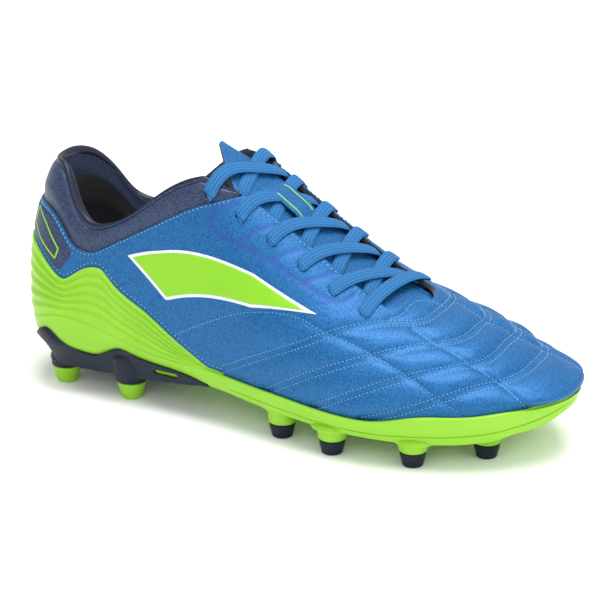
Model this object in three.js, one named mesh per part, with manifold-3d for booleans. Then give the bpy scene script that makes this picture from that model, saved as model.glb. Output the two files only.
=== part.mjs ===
// Right football boot with a moulded, studded sole. Millimetres, +X to the toe, +Y to the inner side, +Z up.
import * as THREE from 'three';
import { mergeVertices } from 'three/addons/utils/BufferGeometryUtils.js';
import Module from 'manifold-3d';

const wasm = await Module();
wasm.setup();

// Driving sizes of the last
const LAST_LENGTH = 281;
const BALL_WIDTH = 104;
const INSTEP_RISE = 89;
const ANKLE_RISE = 96;
const TOE_SPRING = 16;
const BILGE_HEIGHT = 16;
const HEEL_ROUND = 34;
const TOE_ROUND = 50;
const HEEL_POWER = 2.2;
const TOE_POWER = 2.1;
const LEAN_REACH = 70;

// Driving sizes of the upper
const WALL = 2.0;
const CLEAR = 0.4;
const THROAT_WIDTH = 36;
const THROAT_ROUND = 9;
const EYELET_PAIRS = 6;
const EYELET_DIAMETER = 4.6;
const EYELET_SPREAD = 54;
const COLLAR_PADDING = 5.6;
const COLLAR_PROUD = 0.6;
const COLLAR_ROLL_POWER = 5;
const PATCH_THICKNESS = 0.8;
const COUNTER_THICKNESS = 0.9;
const RIB_COUNT = 7;
const RIB_HEIGHT = 0.9;
const TONGUE_THICKNESS = 4.0;
const TONGUE_CLEAR = 1.5;
const TONGUE_WIDTH = 44;
const TONGUE_TOP_WIDTH = 34;
const LOOP_LENGTH = 13;
const LOOP_WIDTH = 20;
const LOOP_THICKNESS = 0.8;
const LACE_WIDTH = 6.6;
const LACE_THICKNESS = 1.2;
const LACE_LIFT = 1.0;
const LACE_RIDE = 0.96;

// Driving sizes of the sole
const TREAD_HEIGHT = 13;
const PLATE_THICKNESS = 3;
const SIDE_WALL = 12;
const WALL_THICKNESS = 1.6;
const RIM_INSET = 1.2;
const RIM_SLOPE = 3.5;
const FLOOR_RING = 0.6;
const RIM_CHAMFER = 0.8;
const FRAME_THICKNESS = 1.4;
const INSOLE_THICKNESS = 3;
const INSOLE_TOE_GAP = 10;
const INSOLE_TOE_ROUND = 35;
const FOREFOOT_TIP_HEIGHT = 7.2;
const FOREFOOT_TIP_DIAMETER = 10;
const FOREFOOT_TIP_TOP = 12.8;
const FOREFOOT_BASE_TOP = 15.5;
const HEEL_TIP_HEIGHT = 8.6;
const HEEL_TIP_DIAMETER = 10.5;
const HEEL_TIP_TOP = 14.6;
const HEEL_BASE_TOP = 18;
const STUD_EMBED = 1.2;
const WALL_TURN = 0.3;
const COLLAR_TIP_TURN = 0.09;
const SEAM_SLOPE = 1.5;

// How finely the faces are divided
const DIVISIONS = { upper: 7, collar: 6, patch: 3, tongue: 4, loop: 3, lace: 8, eyelet: 8, stud: 12 };
const STATION_GAP = 0.004;
const LEVEL_STEP = 0.02;
const WELD_CELL = 0.004;

const UNDERSIDE_OUT = CLEAR + WALL_THICKNESS - RIM_INSET - RIM_SLOPE;
const FEATHER_HEIGHT = TREAD_HEIGHT + PLATE_THICKNESS;
const PUNCH_LENGTH = 4 * WALL;
const QUARTER = Math.PI / 2;
const OUTER = -1;
const INNER = 1;

// Sections of the last. at is a share of its length, mid, outer and inner are shares of the ball width,
// spring is a share of the toe spring and crown of the instep's rise. peak shapes the shoulder, and tuck
// is the share of the half width by which the feather lies in.
const SECTIONS = [
  { at: 0.00, mid: 0.000, outer: 0.317, inner: 0.317, spring: 0.06, crown: 1.378, peak: 1.00, tuck: 0.15 },
  { at: 0.08, mid: 0.000, outer: 0.327, inner: 0.327, spring: 0.06, crown: 1.378, peak: 1.00, tuck: 0.14 },
  { at: 0.18, mid: 0.000, outer: 0.327, inner: 0.327, spring: 0.12, crown: 1.378, peak: 0.75, tuck: 0.12 },
  { at: 0.28, mid: 0.005, outer: 0.341, inner: 0.327, spring: 0.31, crown: 1.378, peak: 0.50, tuck: 0.08 },
  { at: 0.38, mid: 0.014, outer: 0.375, inner: 0.341, spring: 0.38, crown: 1.224, peak: 0.50, tuck: 0.05 },
  { at: 0.48, mid: 0.029, outer: 0.442, inner: 0.372, spring: 0.25, crown: 1.000, peak: 0.60, tuck: 0.05 },
  { at: 0.58, mid: 0.043, outer: 0.510, inner: 0.413, spring: 0.06, crown: 0.794, peak: 0.80, tuck: 0.07 },
  { at: 0.68, mid: 0.053, outer: 0.548, inner: 0.457, spring: 0.00, crown: 0.611, peak: 1.00, tuck: 0.08 },
  { at: 0.78, mid: 0.048, outer: 0.500, inner: 0.452, spring: 0.06, crown: 0.493, peak: 1.00, tuck: 0.08 },
  { at: 0.88, mid: 0.040, outer: 0.404, inner: 0.404, spring: 0.25, crown: 0.381, peak: 1.00, tuck: 0.09 },
  { at: 0.95, mid: 0.038, outer: 0.345, inner: 0.360, spring: 0.56, crown: 0.316, peak: 1.00, tuck: 0.10 },
  { at: 1.00, mid: 0.038, outer: 0.308, inner: 0.327, spring: 0.95, crown: 0.280, peak: 1.00, tuck: 0.12 },
];

// Lean of the heel's back: up is a share of the ankle's rise, lean of the heel's round.
const BACK_LEAN = [
  { up: 0.000, lean: 0.230 },
  { up: 0.260, lean: 0.030 },
  { up: 0.525, lean: 0.024 },
  { up: 0.755, lean: 0.162 },
  { up: 0.985, lean: 0.426 },
];

// Edges that run along the boot, as shares of the ankle's rise over the feather height.
const TOPLINE = [
  { at: 0.000, outer: 1.005, inner: 1.005 },
  { at: 0.040, outer: 1.017, inner: 0.962 },
  { at: 0.070, outer: 0.995, inner: 0.901 },
  { at: 0.096, outer: 0.927, inner: 0.825 },
  { at: 0.120, outer: 0.844, inner: 0.748 },
  { at: 0.145, outer: 0.776, inner: 0.709 },
  { at: 0.170, outer: 0.759, inner: 0.698 },
  { at: 0.200, outer: 0.781, inner: 0.713 },
  { at: 0.238, outer: 0.844, inner: 0.781 },
  { at: 0.281, outer: 0.948, inner: 0.896 },
  { at: 0.345, outer: 1.063, inner: 1.042 },
  { at: 0.400, outer: 1.083, inner: 1.083 },
  { at: 0.500, outer: 1.083, inner: 1.083 },
];
const COLLAR_SEAM = [
  { at: 0.000, up: 0.781 },
  { at: 0.050, up: 0.781 },
  { at: 0.075, up: 0.755 },
  { at: 0.100, up: 0.698 },
  { at: 0.120, up: 0.635 },
  { at: 0.140, up: 0.607 },
  { at: 0.165, up: 0.609 },
  { at: 0.190, up: 0.646 },
  { at: 0.230, up: 0.714 },
  { at: 0.300, up: 0.833 },
  { at: 0.360, up: 0.927 },
  { at: 0.430, up: 0.984 },
  { at: 0.500, up: 1.010 },
];
const PATCH = [
  { at: 0.000, low: 0.630, high: 0.750 },
  { at: 0.036, low: 0.609, high: 0.751 },
  { at: 0.057, low: 0.573, high: 0.745 },
  { at: 0.085, low: 0.510, high: 0.703 },
  { at: 0.100, low: 0.487, high: 0.660 },
  { at: 0.112, low: 0.526, high: 0.623 },
  { at: 0.123, low: 0.566, high: 0.586 },
];
const COUNTER_TOP = [
  { at: 0.000, up: 0.588 },
  { at: 0.035, up: 0.568 },
  { at: 0.060, up: 0.526 },
  { at: 0.085, up: 0.474 },
  { at: 0.110, up: 0.441 },
  { at: 0.130, up: 0.469 },
  { at: 0.150, up: 0.510 },
  { at: 0.170, up: 0.529 },
  { at: 0.185, up: 0.521 },
  { at: 0.200, up: 0.479 },
  { at: 0.230, up: 0.411 },
  { at: 0.270, up: 0.349 },
  { at: 0.310, up: 0.271 },
  { at: 0.345, up: 0.208 },
  { at: 0.395, up: 0.133 },
];
const COUNTER_END = 0.392;
const PATCH_END = 0.123;

// Half the throat's width on each side of the last's middle, as shares of the throat's width.
const THROAT = [
  { at: 0.36, outer: 0.70, inner: 0.68 },
  { at: 0.40, outer: 0.66, inner: 0.60 },
  { at: 0.45, outer: 0.60, inner: 0.52 },
  { at: 0.53, outer: 0.57, inner: 0.48 },
  { at: 0.60, outer: 0.60, inner: 0.44 },
  { at: 0.66, outer: 0.62, inner: 0.42 },
  { at: 0.74, outer: 0.66, inner: 0.42 },
];
const THROAT_END = 0.722;
const ANKLE_FRONT = 0.32;
const TONGUE_FROM = 0.348;
const TONGUE_TO = 0.745;
const TONGUE_WIDE_AT = 0.45;
const LOOP_AT = 0.455;

// Side of the sole: bite is the wall's top over the feather and rim its foot under it, as shares of
// the side wall.
const SOLE_SIDE = [
  { at: 0.000, bite: 1.25, rim: 0.20 },
  { at: 0.030, bite: 1.38, rim: 0.20 },
  { at: 0.080, bite: 1.83, rim: 0.21 },
  { at: 0.125, bite: 1.92, rim: 0.24 },
  { at: 0.165, bite: 1.73, rim: 0.27 },
  { at: 0.210, bite: 1.36, rim: 0.32 },
  { at: 0.285, bite: 0.69, rim: 0.40 },
  { at: 0.390, bite: 0.46, rim: 0.25 },
  { at: 0.480, bite: 0.50, rim: 0.27 },
  { at: 0.560, bite: 0.62, rim: 0.22 },
  { at: 0.670, bite: 0.60, rim: 0.22 },
  { at: 0.720, bite: 0.64, rim: 0.25 },
  { at: 0.780, bite: 0.88, rim: 0.33 },
  { at: 0.865, bite: 0.80, rim: 0.42 },
  { at: 0.950, bite: 0.60, rim: 0.42 },
  { at: 1.000, bite: 0.20, rim: 0.17 },
];

// Heel frame: top is its edge on the side of the sole as a share of the side wall over the feather.
const FRAME_EDGE = [
  { at: 0.000, top: 0.60 },
  { at: 0.040, top: 0.85 },
  { at: 0.065, top: 1.20 },
  { at: 0.085, top: 1.22 },
  { at: 0.105, top: 0.90 },
  { at: 0.130, top: 0.60 },
  { at: 0.155, top: 0.46 },
  { at: 0.180, top: 0.44 },
  { at: 0.200, top: 0.62 },
  { at: 0.222, top: 0.80 },
  { at: 0.250, top: 0.58 },
  { at: 0.290, top: 0.28 },
  { at: 0.340, top: 0.08 },
  { at: 0.400, top: -0.10 },
];
const FRAME_END = 0.395;
const FORK_START = 0.27;
const FORK_RAIL = 10;
const SLOT = { from: 0.285, to: 0.335, height: 1.8, over: 0.1 };

// Studs: at is a share of the length, out a share of the last's own half width on that side.
const FOREFOOT_STUDS = [
  { name: 'outer_1', at: 0.527, side: OUTER, out: 0.78 },
  { name: 'outer_2', at: 0.630, side: OUTER, out: 0.84 },
  { name: 'outer_3', at: 0.769, side: OUTER, out: 0.82 },
  { name: 'outer_4', at: 0.865, side: OUTER, out: 0.44 },
  { name: 'inner_1', at: 0.545, side: INNER, out: 0.74 },
  { name: 'inner_2', at: 0.650, side: INNER, out: 0.80 },
  { name: 'inner_3', at: 0.769, side: INNER, out: 0.80 },
  { name: 'inner_4', at: 0.865, side: INNER, out: 0.44 },
];
const HEEL_STUDS = [
  { name: 'outer_rear', at: 0.085, side: OUTER, out: 0.60 },
  { name: 'outer_front', at: 0.222, side: OUTER, out: 0.73 },
  { name: 'inner_rear', at: 0.085, side: INNER, out: 0.60 },
  { name: 'inner_front', at: 0.222, side: INNER, out: 0.73 },
];

// Lacing: places of the eyelets of each side as shares of the length
const FIRST_EYELET = { outer: 0.382, inner: 0.398 };
const LAST_EYELET = { outer: 0.661, inner: 0.687 };

const COLOURS = {
  blue: 0x2472c4,
  navy: 0x1d2238,
  lime: 0x8ef21a,
  lace: 0x2e86d8,
  insole: 0x15171f,
};

// A natural cubic spline through a table's column
function naturalSpline(xs, ys) {
  const n = xs.length;
  const step = xs.slice(1).map((x, i) => x - xs[i]);
  const bend = new Array(n).fill(0);
  const gain = new Array(n).fill(0);
  const rest = new Array(n).fill(0);
  for (let i = 1; i < n - 1; i++) {
    const slope = (ys[i + 1] - ys[i]) / step[i] - (ys[i] - ys[i - 1]) / step[i - 1];
    const pivot = 2 * (step[i - 1] + step[i]) - step[i - 1] * gain[i - 1];
    gain[i] = step[i] / pivot;
    rest[i] = (6 * slope - step[i - 1] * rest[i - 1]) / pivot;
  }
  for (let i = n - 2; i > 0; i--) bend[i] = rest[i] - gain[i] * bend[i + 1];
  return (value) => {
    const x = Math.min(Math.max(value, xs[0]), xs[n - 1]);
    let i = 0;
    while (i < n - 2 && x > xs[i + 1]) i++;
    const h = step[i];
    const before = xs[i + 1] - x;
    const after = x - xs[i];
    const cubic = (bend[i] * before ** 3 + bend[i + 1] * after ** 3) / (6 * h);
    const left = (ys[i] / h - (bend[i] * h) / 6) * before;
    const right = (ys[i + 1] / h - (bend[i + 1] * h) / 6) * after;
    return cubic + left + right;
  };
}

function column(table, name, key = 'at') {
  return naturalSpline(table.map((row) => row[key]), table.map((row) => row[name]));
}

const section = {
  mid: column(SECTIONS, 'mid'),
  outer: column(SECTIONS, 'outer'),
  inner: column(SECTIONS, 'inner'),
  spring: column(SECTIONS, 'spring'),
  crown: column(SECTIONS, 'crown'),
  peak: column(SECTIONS, 'peak'),
  tuck: column(SECTIONS, 'tuck'),
};
const backLean = column(BACK_LEAN, 'lean', 'up');
const topline = { outer: column(TOPLINE, 'outer'), inner: column(TOPLINE, 'inner') };
const throat = { outer: column(THROAT, 'outer'), inner: column(THROAT, 'inner') };
const seamUp = column(COLLAR_SEAM, 'up');
const counterUp = column(COUNTER_TOP, 'up');
const patchLow = column(PATCH, 'low');
const patchHigh = column(PATCH, 'high');
const soleSide = {
  bite: column(SOLE_SIDE, 'bite'),
  rim: column(SOLE_SIDE, 'rim'),
};
const frameTop = column(FRAME_EDGE, 'top');

const sideName = (side) => (side < 0 ? 'outer' : 'inner');
const clamp = (value, low, high) => Math.min(Math.max(value, low), high);
const mix = (a, b, t) => a + (b - a) * t;

function endRound(share) {
  const heel = clamp((share * LAST_LENGTH) / HEEL_ROUND, 0, 1);
  const toe = clamp(((1 - share) * LAST_LENGTH) / TOE_ROUND, 0, 1);
  const back = (1 - (1 - heel) ** HEEL_POWER) ** (1 / HEEL_POWER);
  const front = (1 - (1 - toe) ** TOE_POWER) ** (1 / TOE_POWER);
  return back * front;
}

function toeRound(share) {
  const toe = clamp(((1 - share) * LAST_LENGTH) / TOE_ROUND, 0, 1);
  return Math.sqrt(1 - (1 - toe) ** 2);
}

const isTip = (share) => share < 1e-9 || share > 1 - 1e-9;
const middle = (share) => section.mid(share) * BALL_WIDTH;
const halfWidth = (share, side) => section[sideName(side)](share) * BALL_WIDTH;
const crownHeight = (share) => FEATHER_HEIGHT + section.crown(share) * INSTEP_RISE;
const bilgeUnder = (rise) => (BILGE_HEIGHT * rise) / (BILGE_HEIGHT + rise);
const feather = (share) => FEATHER_HEIGHT + section.spring(share) * TOE_SPRING;
const ankleHeight = (up) => FEATHER_HEIGHT + up * ANKLE_RISE;

function along(share, z, out) {
  const reach = Math.max(0, 1 - (share * LAST_LENGTH) / LEAN_REACH) ** 2;
  const lean = backLean((z - feather(share)) / ANKLE_RISE) * HEEL_ROUND * reach;
  return share * (LAST_LENGTH + 2 * out) - out + lean;
}

// The last's surface, out millimetres outside it: angle runs from -1 at the feather through 0 at the
// widest level to a quarter turn at the crown.
function lastPoint(share, angle, side, out) {
  const half = (halfWidth(share, side) + out) * endRound(share);
  const tall = toeRound(share);
  const low = feather(share);
  const over = crownHeight(share) + out - low;
  const rise = over * tall;
  const bilge = bilgeUnder(over) * tall;
  let y = half * (1 - section.tuck(share) * angle * angle);
  let z = low + bilge * (1 + angle);
  if (angle >= 0) {
    y = half * Math.max(0, Math.cos(angle)) ** section.peak(share);
    z = low + bilge + (rise - bilge) * Math.sin(angle);
  }
  return new THREE.Vector3(along(share, z, out), middle(share) + side * y, z);
}

function angleAtHeight(share, z) {
  const tall = toeRound(share);
  const low = feather(share);
  const whole = crownHeight(share) - low;
  const rise = whole * tall;
  const bilge = bilgeUnder(whole) * tall;
  const over = z - low;
  if (over < bilge) return Math.max(-1, over / bilge - 1);
  return Math.asin(clamp((over - bilge) / Math.max(rise - bilge, 1e-6), 0, 1));
}

function angleAtHalf(share, half, side) {
  const ratio = clamp(half / (halfWidth(share, side) * endRound(share)), 0, 1);
  return Math.acos(ratio ** (1 / section.peak(share)));
}

// Shares of the length where sections are taken, closer together in the rounds of heel and toe
function spread(from, to, count) {
  return Array.from({ length: count + 1 }, (unused, i) => mix(from, to, i / count));
}
const THROAT_ROUND_STATIONS = [0.5, 0.13];
const heelShare = HEEL_ROUND / LAST_LENGTH;
const toeShare = TOE_ROUND / LAST_LENGTH;
const throatRoundShare = THROAT_ROUND / LAST_LENGTH;
const heelStations = spread(0, QUARTER, 8).map((turn) => heelShare * (1 - Math.cos(turn)));
const toeStations = spread(0, QUARTER, 6).map((turn) => 1 - toeShare * (1 - Math.sin(turn)));
const bodyStations = [
  ...spread(heelShare, ANKLE_FRONT, 7).slice(1),
  ...spread(ANKLE_FRONT, THROAT_END - throatRoundShare, 7).slice(1),
  ...THROAT_ROUND_STATIONS.map((part) => THROAT_END - throatRoundShare * part),
  THROAT_END,
  ...spread(THROAT_END, 1 - toeShare, 3).slice(1, -1),
];
const STATIONS = [...heelStations, ...bodyStations, ...toeStations];

function stationsBetween(start, end) {
  const within = (share) => share > start + STATION_GAP && share < end - STATION_GAP;
  return [start, ...STATIONS.filter(within), end];
}

function throatHalf(share, side) {
  const wide = throat[sideName(side)](share) * THROAT_WIDTH;
  const t = clamp((share - (THROAT_END - throatRoundShare)) / throatRoundShare, 0, 1);
  return wide * Math.sqrt(1 - t * t);
}

function throatAngle(share, side) {
  if (share >= THROAT_END || share < THROAT[0].at) return QUARTER;
  return angleAtHalf(share, throatHalf(share, side), side);
}

// Solid between two grids of points. Each row holds an outer and an inner path of equal length.
// The high edges of joined rows meet the other side's, and a folded end row is flat and needs no face.
function sheetSolid(rows) {
  const points = [];
  const quad = (a, b, c, d) => points.push(a, b, c, a, c, d);
  const last = rows[0].outer.length - 1;
  for (let i = 0; i + 1 < rows.length; i++) {
    const here = rows[i];
    const next = rows[i + 1];
    for (let j = 0; j < last; j++) {
      quad(here.outer[j], next.outer[j], next.outer[j + 1], here.outer[j + 1]);
      quad(here.inner[j], here.inner[j + 1], next.inner[j + 1], next.inner[j]);
    }
    quad(here.outer[0], here.inner[0], next.inner[0], next.outer[0]);
    if (!(here.joined && next.joined)) {
      quad(here.outer[last], next.outer[last], next.inner[last], here.inner[last]);
    }
  }
  const start = rows[0];
  const end = rows[rows.length - 1];
  for (let j = 0; j < last; j++) {
    if (!start.folded) quad(start.outer[j], start.outer[j + 1], start.inner[j + 1], start.inner[j]);
    if (!end.folded) quad(end.outer[j], end.inner[j], end.inner[j + 1], end.outer[j + 1]);
  }
  return closedGeometry(points);
}

// Numbers the corners so that those closer than a weld's reach are one
function weld(points) {
  const cells = new Map();
  const corners = [];
  const cellOf = (value) => Math.round(value / WELD_CELL);
  return {
    corners,
    index: points.map((point) => {
      const [cx, cy, cz] = [cellOf(point.x), cellOf(point.y), cellOf(point.z)];
      for (let i = -1; i <= 1; i++) {
        for (let j = -1; j <= 1; j++) {
          for (let k = -1; k <= 1; k++) {
            const found = cells.get(`${cx + i} ${cy + j} ${cz + k}`);
            if (found !== undefined && corners[found].distanceTo(point) < WELD_CELL / 2) return found;
          }
        }
      }
      cells.set(`${cx} ${cy} ${cz}`, corners.length);
      corners.push(point);
      return corners.length - 1;
    }),
  };
}

// Welds equal corners, drops empty and doubled triangles and turns the faces outwards
function closedGeometry(points) {
  const { corners, index } = weld(points);
  const faces = new Map();
  for (let i = 0; i < index.length; i += 3) {
    const [a, b, c] = index.slice(i, i + 3);
    if (a === b || b === c || c === a) continue;
    const key = [a, b, c].sort((p, q) => p - q).join(' ');
    if (faces.has(key)) faces.delete(key);
    else faces.set(key, [a, b, c]);
  }
  let volume = 0;
  for (const [a, b, c] of faces.values()) volume += corners[a].dot(corners[b].clone().cross(corners[c]));
  const geometry = new THREE.BufferGeometry();
  geometry.setFromPoints(corners);
  geometry.setIndex([...faces.values()].flatMap(([a, b, c]) => (volume < 0 ? [a, c, b] : [a, b, c])));
  return geometry;
}

function toSolid(geometry) {
  const bare = new THREE.BufferGeometry();
  bare.setAttribute('position', geometry.attributes.position.clone());
  if (geometry.index) bare.setIndex(geometry.index.clone());
  const merged = mergeVertices(bare, 1e-4);
  return new wasm.Manifold(new wasm.Mesh({
    numProp: 3,
    vertProperties: new Float32Array(merged.attributes.position.array),
    triVerts: new Uint32Array(merged.index.array),
  }));
}

function toGeometry(solid) {
  const mesh = solid.getMesh();
  const geometry = new THREE.BufferGeometry();
  geometry.setAttribute('position', new THREE.Float32BufferAttribute(mesh.vertProperties, 3));
  geometry.setIndex(Array.from(mesh.triVerts));
  return geometry;
}

// Sheet that runs from its front end on the outer side, round the heel, to its front end on the inner side
function horseshoe({ stations, columns, low, high, inside, outside, joined = () => false }) {
  const row = (share, side) => {
    const from = low(share, side);
    const to = high(share, side);
    const turns = spread(0, 1, columns);
    const path = (offset) => turns.map((t) => lastPoint(share, mix(from, to, t), side, offset(t, share)));
    return { outer: path(outside), inner: path(inside), joined: joined(share) };
  };
  return sheetSolid([
    ...[...stations].reverse().map((share) => row(share, OUTER)),
    ...stations.slice(1).map((share) => row(share, INNER)),
  ]);
}

function collarSeamAngle(share) {
  if (share >= COLLAR_SEAM[COLLAR_SEAM.length - 1].at) return QUARTER;
  return angleAtHeight(share, ankleHeight(seamUp(share)));
}

function upperEdge(share, side) {
  return Math.min(collarSeamAngle(share), throatAngle(share, side));
}

// Eyelet places on each side, as a point of the last and the direction out of the surface
function eyeletPlace(k, side) {
  const name = sideName(side);
  const share = mix(FIRST_EYELET[name], LAST_EYELET[name], k / (EYELET_PAIRS - 1));
  const half = EYELET_SPREAD / 2 - side * middle(share);
  return { share, half, angle: angleAtHalf(share, half, side), side };
}

function surfaceNormal(share, angle, side) {
  const tiny = 0.002;
  const forward = lastPoint(share + tiny, angle, side, 0).sub(lastPoint(share - tiny, angle, side, 0));
  const upward = lastPoint(share, angle + tiny, side, 0).sub(lastPoint(share, angle - tiny, side, 0));
  const normal = forward.cross(upward).normalize();
  return normal.z < 0 ? normal.negate() : normal;
}

function eyeletPunch(place) {
  const centre = lastPoint(place.share, place.angle, place.side, 0);
  const normal = surfaceNormal(place.share, place.angle, place.side);
  const geometry = new THREE.CylinderGeometry(EYELET_DIAMETER / 2, EYELET_DIAMETER / 2, PUNCH_LENGTH, DIVISIONS.eyelet);
  const turn = new THREE.Quaternion().setFromUnitVectors(new THREE.Vector3(0, 1, 0), normal);
  geometry.applyQuaternion(turn);
  geometry.translate(centre.x, centre.y, centre.z);
  return toSolid(geometry);
}

function buildUpper() {
  const wall = horseshoe({
    stations: STATIONS,
    columns: DIVISIONS.upper,
    low: () => -1,
    high: upperEdge,
    inside: () => -WALL,
    outside: () => 0,
    joined: (share) => share >= THROAT_END,
  });
  let solid = toSolid(wall);
  for (const side of [OUTER, INNER]) {
    for (let k = 0; k < EYELET_PAIRS; k++) solid = solid.subtract(eyeletPunch(eyeletPlace(k, side)));
  }
  return toGeometry(solid);
}

// Sections of the collar, up to where its seam runs into the throat
function collarStations() {
  const room = (share, side) => throatAngle(share, side) - collarSeamAngle(share);
  const end = STATIONS.findIndex((share) => Math.min(room(share, OUTER), room(share, INNER)) < COLLAR_TIP_TURN);
  return STATIONS.slice(0, end);
}

function collarFoot(share) {
  return angleAtHeight(share, ankleHeight(seamUp(share)) + CLEAR * SEAM_SLOPE);
}

function collarTop(share, side) {
  const height = ankleHeight(topline[sideName(side)](share));
  return Math.min(angleAtHeight(share, height), throatAngle(share, side));
}

function buildCollar() {
  const centre = COLLAR_PROUD - COLLAR_PADDING / 2;
  const swell = (t) => (COLLAR_PADDING / 2) * Math.sqrt(1 - t ** COLLAR_ROLL_POWER);
  return horseshoe({
    stations: collarStations(),
    columns: DIVISIONS.collar,
    low: collarFoot,
    high: collarTop,
    inside: (t) => centre - swell(t),
    outside: (t) => centre + swell(t),
  });
}

function buildPatch() {
  return horseshoe({
    stations: STATIONS.filter((share) => share <= PATCH_END),
    columns: DIVISIONS.patch,
    low: (share) => angleAtHeight(share, ankleHeight(patchLow(share))),
    high: (share) => angleAtHeight(share, ankleHeight(patchHigh(share))),
    inside: () => CLEAR,
    outside: () => CLEAR + PATCH_THICKNESS,
  });
}

const biteHeight = (share) => feather(share) + soleSide.bite(share) * SIDE_WALL;
const rimHeight = (share) => feather(share) - soleSide.rim(share) * SIDE_WALL;

function buildCounter() {
  const ribs = (t) => (Math.round(t * RIB_COUNT * 2) % 2 === 1 ? RIB_HEIGHT : 0);
  return horseshoe({
    stations: STATIONS.filter((share) => share <= COUNTER_END),
    columns: RIB_COUNT * 2,
    low: (share) => angleAtHeight(share, biteHeight(share) + CLEAR),
    high: (share) => angleAtHeight(share, ankleHeight(counterUp(share))),
    inside: () => CLEAR,
    outside: (t) => CLEAR + COUNTER_THICKNESS + ribs(t),
  });
}

// The sole's wall follows the last up to its shoulder, and stands upright where the toe rolls away from it
const biteTurn = (share) => Math.min(angleAtHeight(share, biteHeight(share)), WALL_TURN);

function wallTop(share, side, out) {
  const z = biteHeight(share);
  const point = lastPoint(share, biteTurn(share), side, out);
  return new THREE.Vector3(along(share, z, out), point.y, z);
}

// Outline of the sole at a height, out millimetres outside the last's feather line
function outlinePoint(share, side, out, z, widthShare = 1) {
  const tucked = 1 - section.tuck(share);
  const half = (halfWidth(share, side) + out) * endRound(share) * tucked * widthShare;
  return new THREE.Vector3(along(share, z, out), middle(share) + side * half, z);
}

// Outer face of the sole from the wall's top (level 0) down to its rim (level 3) and the flat underside (4)
function soleFace(share, side, level, extra) {
  const skin = CLEAR + WALL_THICKNESS + extra;
  const rimZ = rimHeight(share);
  const corners = [
    wallTop(share, side, skin),
    lastPoint(share, mix(biteTurn(share), -1, 1 / 3), side, skin),
    lastPoint(share, mix(biteTurn(share), -1, 2 / 3), side, skin),
    outlinePoint(share, side, skin - RIM_INSET, rimZ),
    outlinePoint(share, side, UNDERSIDE_OUT + extra, rimZ - RIM_CHAMFER),
  ];
  const i = clamp(Math.floor(level), 0, corners.length - 2);
  return corners[i].clone().lerp(corners[i + 1], level - i);
}

function crossSection(half, centre) {
  return [...half(OUTER), centre, ...half(INNER).reverse()];
}

function buildOutsoleBody() {
  const rows = STATIONS.map((share) => {
    const floor = feather(share) - CLEAR;
    const under = rimHeight(share) - RIM_CHAMFER;
    const outerHalf = (side) => [0, 1, 2, 3, 4].map((level) => soleFace(share, side, level, 0));
    const innerHalf = (side) => [
      wallTop(share, side, CLEAR),
      lastPoint(share, mix(biteTurn(share), -1, 1 / 3), side, CLEAR),
      lastPoint(share, mix(biteTurn(share), -1, 2 / 3), side, CLEAR),
      outlinePoint(share, side, CLEAR, floor),
      outlinePoint(share, side, CLEAR, floor, FLOOR_RING),
    ];
    return {
      folded: isTip(share),
      outer: crossSection(outerHalf, outlinePoint(share, OUTER, UNDERSIDE_OUT, under, 0)),
      inner: crossSection(innerHalf, outlinePoint(share, OUTER, CLEAR, floor, 0)),
    };
  });
  return toSolid(sheetSolid(rows));
}

function stud(place, bottomZ, topZ, bottomDiameter, topDiameter) {
  const half = halfWidth(place.at, place.side) * place.out;
  const geometry = new THREE.CylinderGeometry(topDiameter / 2, bottomDiameter / 2, topZ - bottomZ, DIVISIONS.stud);
  geometry.rotateX(QUARTER);
  geometry.translate(place.at * LAST_LENGTH, middle(place.at) + place.side * half, (bottomZ + topZ) / 2);
  return geometry;
}

function buildOutsole() {
  let solid = buildOutsoleBody();
  for (const place of FOREFOOT_STUDS) {
    const top = rimHeight(place.at) - RIM_CHAMFER + STUD_EMBED;
    const foot = FOREFOOT_TIP_HEIGHT + CLEAR;
    solid = solid.add(toSolid(stud(place, foot, top, FOREFOOT_TIP_TOP, FOREFOOT_BASE_TOP)));
  }
  return toGeometry(solid);
}

function boxBetween(x0, x1, y0, y1, z0, z1) {
  const geometry = new THREE.BoxGeometry(x1 - x0, y1 - y0, z1 - z0);
  geometry.translate((x0 + x1) / 2, (y0 + y1) / 2, (z0 + z1) / 2);
  return toSolid(geometry);
}

// The frame's edge stays above the rim, which is level 3
const LOWEST_EDGE = 2.8;

function frameLevel(share) {
  const wanted = feather(share) + frameTop(share) * SIDE_WALL;
  let level = 0;
  while (level < LOWEST_EDGE && soleFace(share, OUTER, level, 0).z > wanted) level += LEVEL_STEP;
  return level;
}

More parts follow.
